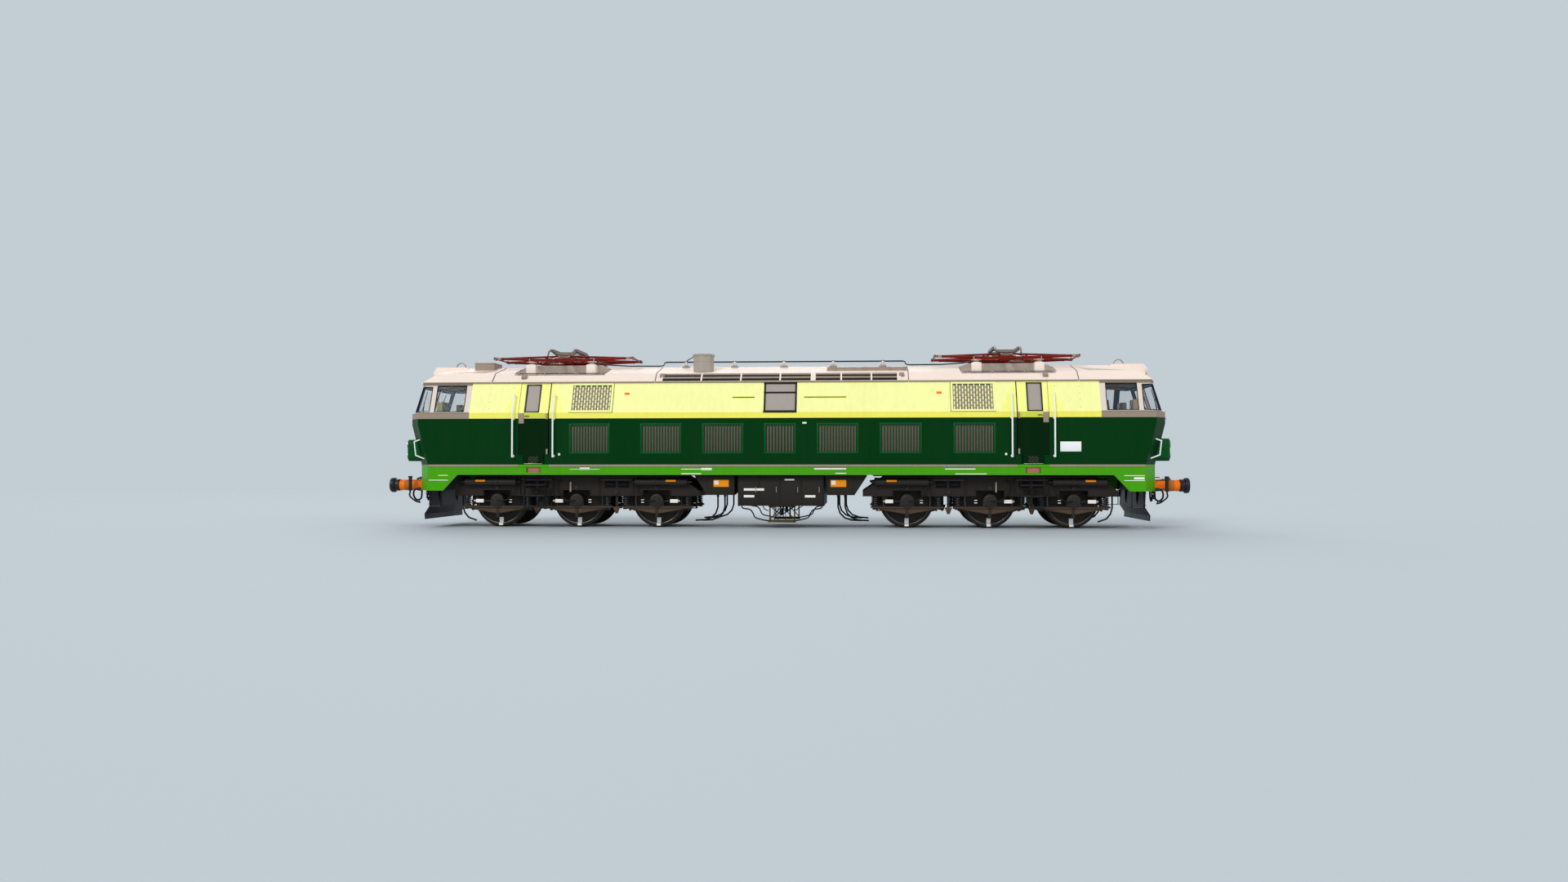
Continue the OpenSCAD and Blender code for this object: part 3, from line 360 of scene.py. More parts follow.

# Every finish on the locomotive.
# The yellow band from 2.62 to 2.75 m is the cream darkened as painted shade on the upright strip below the
# lean; the cab bands are painted shade of the cream too.
LIVERY = Livery("livery", "dark_green_paint", DARK_GREEN_TINT, 0.34, gloss=0.05, dirt=0.06, dust=0.08,
                bands=((2.62, YELLOW_TINT), (2.75, CREAM_TINT)),
                cab_shade_bands=((2.62, BEIGE_TINT), (2.775, PILLAR_TINT), (3.425, BEIGE_TINT)))
# The door's green and yellows are the livery's colours darkened as painted shade of the door's recess.
SHADED_DOOR = Livery("door_shaded_livery", "dark_green_paint", paint("002406"), 0.4, gloss=0.05, dirt=0.06, dust=0.06,
              bands=((2.62, paint("D8DC50")), (2.75, paint("FFFF94"))))
LIGHT_GREEN = Finish("light_green", "light_green_paint", paint("48A600"), 0.38, gloss=0.15, dirt=0.08,
                     dust=0.12)
ROOF = Finish("roof_cream", "roof_cream_paint", ROOF_TINT, 0.5, dirt=0.08, dirt_colour=(0.3, 0.24, 0.19))
ROOF_SHADE = Finish("roof_shade", "roof_cream_paint", paint("D0C0AC"), 0.55, dirt=0.15)
BEIGE = Finish("beige_trim", "roof_cream_paint", BEIGE_TINT, 0.45, dirt=0.12)
FRAME_GREEN = Finish("louvre_green", "dark_green_paint", LOUVRE_TINT, 0.4, gloss=0.1, dirt=0.08)
LAMP_BODIES = Zoned("lamp_bodies", "dark_green_paint", LOUVRE_TINT, 0.4, gloss=0.1, dirt=0.08,
                    zones=(((-9.2, -0.3, 3.5), (9.2, 0.3, 4.2), ROOF_TINT),))
SLAT = Finish("louvre_slats", "louvre_metal", paint("665850"), 0.5, dirt=0.12)
CREAM = Finish("grille_cream", "roof_cream_paint", CREAM_TINT, 0.4, dirt=0.06)
GRILLE_BACK = Finish("grille_back", "louvre_metal", paint("A89C92"), 0.55, dirt=0.1)
YELLOW = Finish("panel_yellow", "roof_cream_paint", YELLOW_TINT, 0.4, dirt=0.06)
# Black that stands in as painted shadow in recesses, gaps and holes.
SHADOW_BLACK = Finish("painted_shadow_black", "frame_black", (0.008, 0.008, 0.011), 0.8, gloss=0.05, dirt=0.0)
SEAM = Finish("seam_navy", "frame_black", paint("24385F"), 0.6, dirt=0.2)
WHITE = Finish("white_gloss", "rail_white", (0.95, 0.95, 0.94), 0.3, gloss=0.4, dirt=0.04)
ORANGE = Finish("signal_orange", "buffer_orange", ORANGE_TINT, 0.4, dirt=0.08)
BUFFER = Zoned("buffer_paint", "buffer_orange", ORANGE_TINT, 0.4, dirt=0.08,
               zones=tuple(((min(a, b), -2.0, 0.5), (max(a, b), 2.0, 1.5), (0.012, 0.012, 0.015))
                           for a, b in ((9.41, 9.7), (-9.41, -9.7))))
AMBER = Finish("plate_amber", "buffer_orange", paint("FF9A00"), 0.45, dirt=0.05)
RED = Finish("pantograph_red", "pantograph_red", paint("7A1000"), 0.42, gloss=0.15, dirt=0.12)
TAP_RED = Finish("tap_red", "pantograph_red", paint("E01008"), 0.35, dirt=0.08)
PLOUGH = Finish("plough_navy", "plough_navy", paint("141821"), 0.42, gloss=0.12, dirt=0.2, dust=0.12)
FRAME = Finish("underframe_black", "frame_black", paint("1C1C20"), 0.55, gloss=0.12, dirt=0.2, dust=0.1)
BOGIE = Zoned("bogie_brown", "bogie_brown", BOGIE_TINT, 0.6, grain=Grain.CAST, relief=0.12, gloss=0.12,
              dirt=0.25, dust=0.12, dirt_colour=BRAKE_DUST,
              zones=(((-9, -2, 0.1), (9, 2, 0.50), CRADLE_TINT),))
BOX = Finish("box_brown", "bogie_brown", BOGIE_TINT, 0.55, gloss=0.12, dirt=0.15,
             dirt_colour=(0.04, 0.03, 0.022))
CAST = Finish("cast_dark", "cast_gear", CAST_TINT, 0.5, grain=Grain.CAST, relief=0.2, gloss=0.25,
              dirt=0.25, dust=0.1, dirt_colour=BRAKE_DUST)
AXLE_CAST = Zoned("axle_cast", "cast_gear", CAST_TINT, 0.5, grain=Grain.CAST, relief=0.2, gloss=0.25,
                  dirt=0.25, dust=0.1, dirt_colour=BRAKE_DUST,
                  zones=(((-9, -2, 0.2), (9, 2, 0.5), CRADLE_TINT),))
RUST = Finish("brake_rust", "bogie_brown", paint("5A422C"), 0.6, grain=Grain.CAST, relief=0.2, dirt=0.3,
              dirt_colour=(0.05, 0.03, 0.02))
SPRING = Finish("spring_steel", "spring_steel", paint("1B1B1D"), 0.34, gloss=0.5, dirt=0.15, grain=Grain.CAST)
WHEEL = Finish("wheel_steel", "wheel_steel", paint("231E1A"), 0.45, metallic=0.15, grain=Grain.TURNED,
               relief=0.1, gloss=0.25, dirt=0.3, dirt_colour=(0.04, 0.026, 0.018))
TREAD = Finish("tread_steel", "wheel_steel", paint("7C756C"), 0.3, metallic=0.8, grain=Grain.TURNED,
               dirt=0.15)
STEEL = Finish("bright_steel", "brushed_silver", paint("B8B2A8"), 0.3, metallic=0.8, grain=Grain.BRUSHED,
               dirt=0.15)
SILVER = Finish("canister_silver", "brushed_silver", SILVER_TINT, 0.35, metallic=0.35, grain=Grain.BRUSHED,
                dirt=0.12)
FITTINGS = Zoned("roof_fittings", "brushed_silver", BEIGE_TINT, 0.42, gloss=0.3, dirt=0.12, zones=(
    ((-2.6, -0.12, 3.97), (2.6, 0.12, 4.06), (0.85, 0.85, 0.84)),
    ((-2.97, -0.03, 4.055), (2.97, 0.03, 4.12), (0.01, 0.01, 0.012)),
    ((-2.2, -0.9, 3.6), (-1.66, -0.34, 4.3), SILVER_TINT)))
RUBBER = Finish("hose_rubber", "hose_rubber", (0.009, 0.009, 0.010), 0.6, dirt=0.12, grain=Grain.CAST)
BLACK = Finish("black_gloss", "frame_black", (0.010, 0.010, 0.012), 0.35, gloss=0.3, dirt=0.06)
PORCELAIN = Finish("porcelain", "rail_white", (0.88, 0.88, 0.87), 0.16, gloss=0.5, coat=0.3, dirt=0.06)
PLATE = Finish("blank_plate", "rail_white", (0.95, 0.92, 0.84), 0.4, dirt=0.03)
FOOTHOLD = Finish("foothold_pink", "roof_cream_paint", paint("C07368"), 0.55, dirt=0.1)
PANE_GREY = Finish("blind_grey", "window_glass", paint("A89F96"), 0.5, gloss=0.25, dirt=0.05)
LINING = Finish("cab_lining", "cab_lining", paint("5C6B88"), 0.6, dirt=0.1)
NAVY = Finish("cab_navy", "cab_lining", paint("2C4474"), 0.55, dirt=0.1)
DESK = Finish("desk_grey", "desk_laminate", paint("3C4248"), 0.45, dirt=0.1)
SCREEN = Finish("screen_glass", "desk_laminate", (0.01, 0.014, 0.02), 0.12, coat=0.5, gloss=0.5, dirt=0.05)
OLIVE = Finish("seat_olive", "seat_fabric", paint("8A8A4A"), 0.85, grain=Grain.WOVEN, dirt=0.15)
TAN = Finish("seat_tan", "seat_fabric", paint("9A8E7C"), 0.85, grain=Grain.WOVEN, dirt=0.15)
CARBON = Finish("collector_strip", "collector_carbon", paint("7F6C5A"), 0.4, metallic=0.4,
                grain=Grain.BRUSHED, dirt=0.2)
LENS = Finish("lamp_lens", "window_glass", (0.75, 0.78, 0.8), 0.08, coat=1.0, gloss=0.5, dirt=0.04, glow=0.2)
RED_LENS = Finish("tail_lens", "pantograph_red", (0.5, 0.01, 0.01), 0.1, coat=1.0, gloss=0.5, dirt=0.04)
PANEL_SHADE = Finish("panel_shade", "roof_cream_paint", paint("FFFF88"), 0.4, dirt=0.05)
OLIVE_PAINT = Finish("olive_paint", "desk_laminate", paint("A8A468"), 0.4, dirt=0.1)
TAN_PAINT = Finish("tan_paint", "desk_laminate", paint("B5A48C"), 0.4, dirt=0.1)
BLIND_OLIVE = Finish("blind_olive", "desk_laminate", paint("5C4A14"), 0.5, dirt=0.1)
# The roof cream darkened as painted shade, for the wells' floors and walls.
WELL_SHADE = Finish("well_painted_shade", "roof_cream_paint", paint("D8CCC0"), 0.55, dirt=0.12,
              dirt_colour=(0.3, 0.26, 0.22))
RIM_ORANGE = Finish("buffer_band", "buffer_orange", paint("BE6A20"), 0.45, dirt=0.1)
MACHINE_DARK = Finish("motor_grey", "machine_grey", paint("1E1E20"), 0.55, grain=Grain.CAST, relief=0.12,
                      gloss=0.15, dirt=0.2)
CARBON_FRAME = Finish("collector_frame", "collector_carbon", paint("8C7E70"), 0.45, metallic=0.2,
                      grain=Grain.BRUSHED, dirt=0.2)
MACHINE = Finish("machine_grey", "machine_grey", paint("6A7072"), 0.5, dirt=0.2)


class Glazing:
    """Clear window glass, tinted a little and open to light."""

    name = "clear_pane"

    def material(self) -> bpy.types.Material:
        """Builds the glass as a thin, mostly clear, glossy sheet."""
        found = bpy.data.materials.get(self.name)
        if found:
            return found
        graph = Graph(self.name)
        shader = graph.shader.inputs
        shader["Base Color"].default_value = (0.16, 0.22, 0.26, 1.0)
        shader["Alpha"].default_value = 0.08
        film = graph.noise(3.0, (1.0, 1.0, 0.4), 3.0)
        graph.put(graph.span(film, 0.3, 0.7, 0.03, 0.10), shader["Roughness"])
        graph.material.surface_render_method = "BLENDED"
        return graph.material


# ------------------------------------------------------------------ making pieces


def aim(direction: Sequence[float]) -> Matrix:
    """Gives the turn that takes +Z to a direction."""
    return Vector(direction).to_track_quat("Z", "Y").to_matrix().to_4x4()


def edges_of(verts: Iterable[Vert]) -> list[bmesh.types.BMEdge]:
    """Lists the edges that meet some vertices."""
    return list({e for v in verts for e in v.link_edges})


class Piece:
    """One new object in the making, built from bmesh operators."""

    def __init__(self, name: str, move: Matrix | None = None) -> None:
        """Starts an empty piece.

        Args:
            name: the object's name.
            move: matrix that new parts are moved by.
        """
        self.name = name
        self.mesh = bmesh.new()
        self.finishes: list[Finish] = []
        self.move = move or Matrix.Identity(4)

    def dress(self, verts: Iterable[Vert], finish: Finish) -> None:
        """Moves new vertices by the piece's current matrix and gives their faces a finish."""
        if finish not in self.finishes:
            self.finishes.append(finish)
        index = self.finishes.index(finish)
        verts = list(verts)
        bmesh.ops.transform(self.mesh, matrix=self.move, verts=verts)
        for face in {f for v in verts for f in v.link_faces}:
            face.material_index = index

    def rounded(self, verts: Sequence[Vert], width: float) -> list[Vert]:
        """Rounds the edges of some vertices and lists the vertices that are left."""
        bent = bmesh.ops.bevel(self.mesh, geom=edges_of(verts), offset=width, segments=2, profile=0.5,
                               affect="EDGES", material=-1, clamp_overlap=True)
        return list(set(bent["verts"]) | {v for v in verts if v.is_valid})

    def box(self, low: Sequence[float], high: Sequence[float], finish: Finish, bevel: float = 0.0) -> None:
        """Adds a box between two corners.

        Args:
            low: one corner.
            high: the opposite corner.
            finish: the box's finish.
            bevel: width of its rounded edges, 0 for sharp ones.
        """
        size = [abs(b - a) for a, b in zip(low, high)]
        centre = [(a + b) / 2 for a, b in zip(low, high)]
        matrix = Matrix.Translation(centre) @ Matrix.Diagonal((*size, 1.0))
        verts = bmesh.ops.create_cube(self.mesh, size=1.0, matrix=matrix)["verts"]
        self.dress(self.rounded(verts, bevel) if bevel else verts, finish)

    def rod(self, a: Sequence[float], b: Sequence[float], radius: float, finish: Finish,
            sides: int = 16, end: float | None = None) -> None:
        """Adds a round bar or a cone between two points.

        Args:
            a: one end.
            b: the other end.
            radius: radius at a.
            finish: the bar's finish.
            sides: number of flat sides.
            end: radius at b, if it isn't the same.
        """
        start, stop = Vector(a), Vector(b)
        axis = stop - start
        matrix = Matrix.Translation((start + stop) / 2) @ aim(axis)
        made = bmesh.ops.create_cone(self.mesh, cap_ends=True, segments=sides, radius1=radius,
                                     radius2=radius if end is None else end, depth=axis.length, matrix=matrix)
        self.dress(made["verts"], finish)

    def tube(self, points: Sequence[Sequence[float]], radius: float, finish: Finish, sides: int = 8) -> None:
        """Adds a round tube along a path.

        Args:
            points: the path's points.
            radius: the tube's radius.
            finish: the tube's finish.
            sides: number of flat sides.
        """
        path = [Vector(p) for p in points]
        ring = bmesh.ops.create_circle(self.mesh, cap_ends=True, segments=sides, radius=radius)["verts"]
        made = list(ring)
        bmesh.ops.transform(self.mesh, matrix=Matrix.Translation(path[0]) @ aim(path[1] - path[0]),
                            verts=ring)
        heading = (path[1] - path[0]).normalized()
        face = ring[0].link_faces[0]
        for i in range(1, len(path)):
            ahead = (path[min(i + 1, len(path) - 1)] - path[i - 1]).normalized()
            geom = bmesh.ops.extrude_face_region(self.mesh, geom=[face])["geom"]
            if i > 1:
                bmesh.ops.delete(self.mesh, geom=[face], context="FACES_ONLY")
            verts = [g for g in geom if isinstance(g, Vert)]
            face = next(g for g in geom if isinstance(g, bmesh.types.BMFace))
            swing = heading.rotation_difference(ahead).to_matrix().to_4x4()
            matrix = Matrix.Translation(path[i]) @ swing @ Matrix.Translation(-path[i - 1])
            bmesh.ops.transform(self.mesh, matrix=matrix, verts=verts)
            heading = ahead
            made += verts
        self.dress(made, finish)

    def lathe(self, outline: Sequence[Span], centre: Sequence[float], axis: Sequence[float],
              finish: Finish, steps: int = 32) -> None:
        """Spins an outline of (radius, distance along the axis) points.

        Args:
            outline: points from one end to the other.
            centre: where distance 0 lies.
            axis: direction of the axis.
            finish: the piece's finish.
            steps: steps of a full turn.
        """
        verts = [self.mesh.verts.new((r, 0.0, h)) for r, h in outline]
        edges = [self.mesh.edges.new(pair) for pair in zip(verts, verts[1:])]
        before = set(self.mesh.verts)
        bmesh.ops.spin(self.mesh, geom=verts + edges, cent=(0, 0, 0), axis=(0, 0, 1),
                       angle=2 * math.pi, steps=steps, use_merge=True)
        made = [v for v in self.mesh.verts if v not in before] + verts
        bmesh.ops.remove_doubles(self.mesh, verts=made, dist=1e-5)
        made = [v for v in made if v.is_valid]
        bmesh.ops.transform(self.mesh, matrix=Matrix.Translation(centre) @ aim(axis), verts=made)
        self.dress(made, finish)

    def band(self, radii: Span, span: Span, centre: Sequence[float],
             axis: Sequence[float], finish: Finish, steps: int = 24) -> None:
        """Adds a flat ring between two radii, over a span of the axis."""
        (inner, outer), (low, high) = radii, span
        outline = [(inner, low), (outer, low), (outer, high), (inner, high), (inner, low)]
        self.lathe(outline, centre, axis, finish, steps)

    def plate(self, outline: Sequence[Span], matrix: Matrix, thick: float, finish: Finish,
              bevel: float = 0.0) -> None:
        """Extrudes a flat outline.

        Args:
            outline: (u, v) points in order.
            matrix: takes (u, v, depth) to the piece's space.
            thick: depth of the plate.
            finish: the plate's finish.
            bevel: width of its rounded edges.
        """
        verts = [self.mesh.verts.new((u, v, 0.0)) for u, v in outline]
        face = self.mesh.faces.new(verts)
        geom = bmesh.ops.extrude_face_region(self.mesh, geom=[face])["geom"]
        top = [g for g in geom if isinstance(g, Vert)]
        bmesh.ops.translate(self.mesh, verts=top, vec=(0, 0, thick))
        made = verts + top
        if bevel:
            made = self.rounded(made, bevel)
        bmesh.ops.transform(self.mesh, matrix=matrix, verts=made)
        self.dress(made, finish)

    def bolts(self, places: Iterable[Sequence[float]], axis: Sequence[float], finish: Finish,
              radius: float = 0.014, height: float = 0.012) -> None:
        """Adds six-sided bolt heads at the given places."""
        for place in places:
            tip = Vector(place) + Vector(axis) * height
            self.rod(place, tip, radius, finish, 6)

    def twin(self, axis: int) -> None:
        """Copies the whole piece so far to the other side of X (0) or Y (1)."""
        everything = self.mesh.verts[:] + self.mesh.edges[:] + self.mesh.faces[:]
        made = bmesh.ops.duplicate(self.mesh, geom=everything)
        verts = [g for g in made["geom"] if isinstance(g, Vert)]
        faces = [g for g in made["geom"] if isinstance(g, bmesh.types.BMFace)]
        factors = [1.0, 1.0, 1.0]
        factors[axis] = -1.0
        bmesh.ops.scale(self.mesh, vec=factors, verts=verts)
        bmesh.ops.reverse_faces(self.mesh, faces=faces)

    def done(self, body: str, stands_for: Sequence[str] = (), smooth: float = 35.0) -> bpy.types.Object:
        """Turns the piece into an object that rides on a body.

        Args:
            body: name of the CAD body that carries it.
            stands_for: CAD nodes that it replaces.
            smooth: largest angle in degrees between faces that are shaded as one.

        Returns:
            The new object.
        """
        bmesh.ops.recalc_face_normals(self.mesh, faces=self.mesh.faces[:])
        data = bpy.data.meshes.new(self.name)
        self.mesh.to_mesh(data)
        self.mesh.free()
        data.polygons.foreach_set("use_smooth", [True] * len(data.polygons))
        data.set_sharp_from_angle(angle=math.radians(smooth))
        made = bpy.data.objects.new(self.name, data)
        bpy.context.scene.collection.objects.link(made)
        for finish in self.finishes:
            data.materials.append(finish.material())
        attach(made, body)
        if stands_for:
            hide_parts(*stands_for)
        LOG.info("%s: %d faces on %s", self.name, len(data.polygons), body)
        return made


@dataclass(frozen=True)
class Job:
    """One piece to build.

    Attributes:
        name: name of the piece.
        draw: what draws it.
        twins: axes that it's then mirrored across, X (0) or Y (1).
        place: matrix that its parts are moved by.
        body: name of the CAD body that carries it.
        stands_for: CAD nodes that it replaces.
    """

    name: str
    draw: Callable[[Piece], None]
    twins: tuple[int, ...] = (1,)
    place: Matrix | None = None
    body: str = "body"
    stands_for: tuple[str, ...] = ()

    def build(self) -> None:
        """Draws the piece, mirrors it and turns it into an object."""
        piece = Piece(self.name, self.place)
        self.draw(piece)
        for axis in self.twins:
            piece.twin(axis)
        piece.done(self.body, self.stands_for)


class Fittings:
    """A group of pieces that are built one after another."""

    def jobs(self) -> Iterable[Job]:
        """Lists the group's pieces in order."""
        return ()

    def build(self) -> None:
        """Builds every piece of the group."""
        for job in self.jobs():
            job.build()


# ------------------------------------------------------------------ the body's surfaces

# Half widths and heights of the body's edges, then where the cab's front stands at each bend.
HALF_WIDTH = 1.5
GUTTER_HALF = 1.2
SOLE = 1.515
WAIST = 2.75
GUTTER = 3.49
SHOULDER = (0.9, 3.74)
RIDGE = 3.95
FACET = math.radians(34.9)
FRONT_HALF = 1.07
BEND = 2.48
FOOT_X, NOSE_X, SCREEN_X, BROW_X = 8.8, 9.045, 8.985, 8.75
ENDS = (-1, 1)
BOTH = (1, 0)


def plane(origin: Point, up: Point, out: Point) -> Matrix:
    """Gives the matrix of a flat surface, with u along it, v up it and w out of it.

    Args:
        origin: where u, v and w are 0.
        up: direction of v.
        out: direction of w, square to v.

    Returns:
        The matrix from (u, v, w) to the locomotive's frame.
    """
    v, w = Vector(up).normalized(), Vector(out).normalized()
    u = v.cross(w)
    return Matrix.Translation(origin) @ Matrix((u, v, w)).transposed().to_4x4()


def slope(a: Span, b: Span) -> Matrix:
    """Gives the plane through two (half width, height) points of the -Y side."""
    dy, dz = a[0] - b[0], b[1] - a[1]
    return plane((0.0, -a[0], a[1]), (0.0, dy, dz), (0.0, -dz, dy))


WALL = plane((0.0, -HALF_WIDTH, 0.0), UP, NEAR)
LEANING = slope((HALF_WIDTH, WAIST), (GUTTER_HALF, GUTTER))
ROOF_SIDE = slope((GUTTER_HALF, GUTTER), SHOULDER)
ROOF_TOP = slope(SHOULDER, (0.0, RIDGE))


def side_y(z: float) -> float:
    """Gives how far the side is from the middle at a height."""
    lean = (HALF_WIDTH - GUTTER_HALF) / (GUTTER - WAIST)
    return HALF_WIDTH - lean * max(0.0, z - WAIST)


def front_x(y: float, z: float) -> float:
    """Gives where the cab's front is, at a distance from the middle line and a height."""
    if z < BEND:
        flat = FOOT_X + (NOSE_X - FOOT_X) * (z - SOLE) / (BEND - SOLE)
    elif z <= WAIST:
        flat = NOSE_X
    else:
        flat = SCREEN_X - (SCREEN_X - BROW_X) * (z - WAIST) / (GUTTER - WAIST)
    return flat - max(0.0, abs(y) - FRONT_HALF) * math.tan(FACET)


def end_number(end: int) -> int:
    """Gives the number of the bogie and the pantograph at an end."""
    return 1 if end < 0 else 2


def mirror_x(end: int) -> Matrix:
    """Gives the matrix that takes a piece drawn at +X to an end."""
    return Matrix.Diagonal((end, 1, 1, 1))


# ------------------------------------------------------------------ sides


@dataclass
class Louvres(Fittings):
    """The panels that let air through the sides.

    Attributes:
        low: height of the lower louvres' foot.
        high: height of their head.
        places: middle and width of each lower louvre at +X.
        rim: width of the frames.
        grille_x: middle of the upper grille.
        grille_width: its width.
    """

    low: float = 1.77
    high: float = 2.5
    places: tuple[Span, ...] = ((1.36, 0.99), (2.84, 0.99), (4.56, 0.99))
    rim: float = 0.05
    grille_x: float = 4.54
    grille_width: float = 1.04

    def frame(self, piece: Piece, x: float, width: float, low: float, high: float, finish: Finish) -> None:
        """Adds a frame of four bevelled bars."""
        half, rim = width / 2, self.rim
        bars = ((x - half, low, x - half + rim, high), (x + half - rim, low, x + half, high),
                (x - half + rim, low, x + half - rim, low + rim),
                (x - half + rim, high - rim, x + half - rim, high))
        for left, foot, right, top in bars:
            piece.box((left, foot, -0.05), (right, top, 0.012), finish, 0.004)
        for u in (x - half + rim / 2, x + half - rim / 2):
            piece.bolts([(u, v, 0.011) for v in (low + 0.1, (low + high) / 2, high - 0.1)], UP, finish, 0.009,
                        0.005)

    def lower(self, piece: Piece, x: float, width: float) -> None:
        """Adds a lower louvre with slanted upright slats between thin bars."""
        piece.move = WALL
        self.frame(piece, x, width, self.low, self.high, FRAME_GREEN)
        left, right = x - width / 2 + self.rim, x + width / 2 - self.rim
        low, high = self.low + self.rim, self.high - self.rim
        # A black sheet behind the slats is painted shadow.
        piece.box((left, low, -0.05), (right, high, -0.044), SHADOW_BLACK)
        count = round((right - left) / 0.07)
        pitch = (right - left) / count
        for i in range(count):
            middle = left + (i + 0.5) * pitch
            turn = Matrix.Translation((middle, 0, -0.02)) @ Matrix.Rotation(math.radians(-14), 4, "Y")
            piece.move = WALL @ turn
            piece.box((-0.026, low, -0.002), (0.022, high, 0.002), SLAT, 0.0012)
            piece.move = WALL
            if i < count - 1:
                edge = middle + pitch / 2
                piece.box((edge - 0.009, low, -0.04), (edge + 0.009, high, 0.0), FRAME_GREEN, 0.002)

    def grille(self, piece: Piece, end: int) -> None:
        """Adds an upper grille with staggered slots, and dark green strips as painted shadow along its edges.
        """
        piece.move = mirror_x(end) @ LEANING
        low, high = 0.012, 0.7785
        self.frame(piece, self.grille_x, self.grille_width, low, high, CREAM)
        left = self.grille_x - self.grille_width / 2 + self.rim
        right = left + self.grille_width - 2 * self.rim
        low, high = low + self.rim, high - self.rim
        piece.box((left, low, -0.05), (right, high, -0.024), GRILLE_BACK)
        columns, rows = 14, 5
        pitch, step = (right - left) / columns, (high - low) / rows
        for i in range(columns):
            u = left + (i + 0.5) * pitch
            start = low - (0.5 if i % 2 else 0.05) * step
            for j in range(rows + 1):
                bottom, top = max(start + j * step, low), min(start + (j + 0.68) * step, high)
                if top - bottom > 0.02:
                    piece.box((u - 0.014, bottom, -0.025), (u + 0.014, top, -0.008), CREAM, 0.004)
            piece.rod((u + pitch / 2, low, -0.025), (u + pitch / 2, high, -0.025), 0.006, SLAT, 8)
        # Dark green strips along the top inside, and along the foot and the left outside, are painted shadow.
        piece.box((left, high - 0.016, -0.025), (right, high, -0.01), FRAME_GREEN)
        outer = left - self.rim - 0.012
        piece.box((outer, 0.002, 0.0), (right + self.rim + 0.012, 0.010, 0.006), FRAME_GREEN)
        piece.box((outer, 0.012, 0.0), (outer + 0.008, 0.775, 0.006), FRAME_GREEN)

    def panels(self, piece: Piece) -> None:
        """Adds every louvre of both sides in one piece."""
        self.lower(piece, 0.0, 0.76)
        for x, width in self.places:
            self.lower(piece, x, width)
            self.lower(piece, -x, width)
        for end in ENDS:
            self.grille(piece, end)

    def jobs(self) -> Iterable[Job]:
        """Lists the one piece that holds the louvres."""
        return (Job("side_louvre_slats", self.panels, stands_for=("side_louvres",)),)


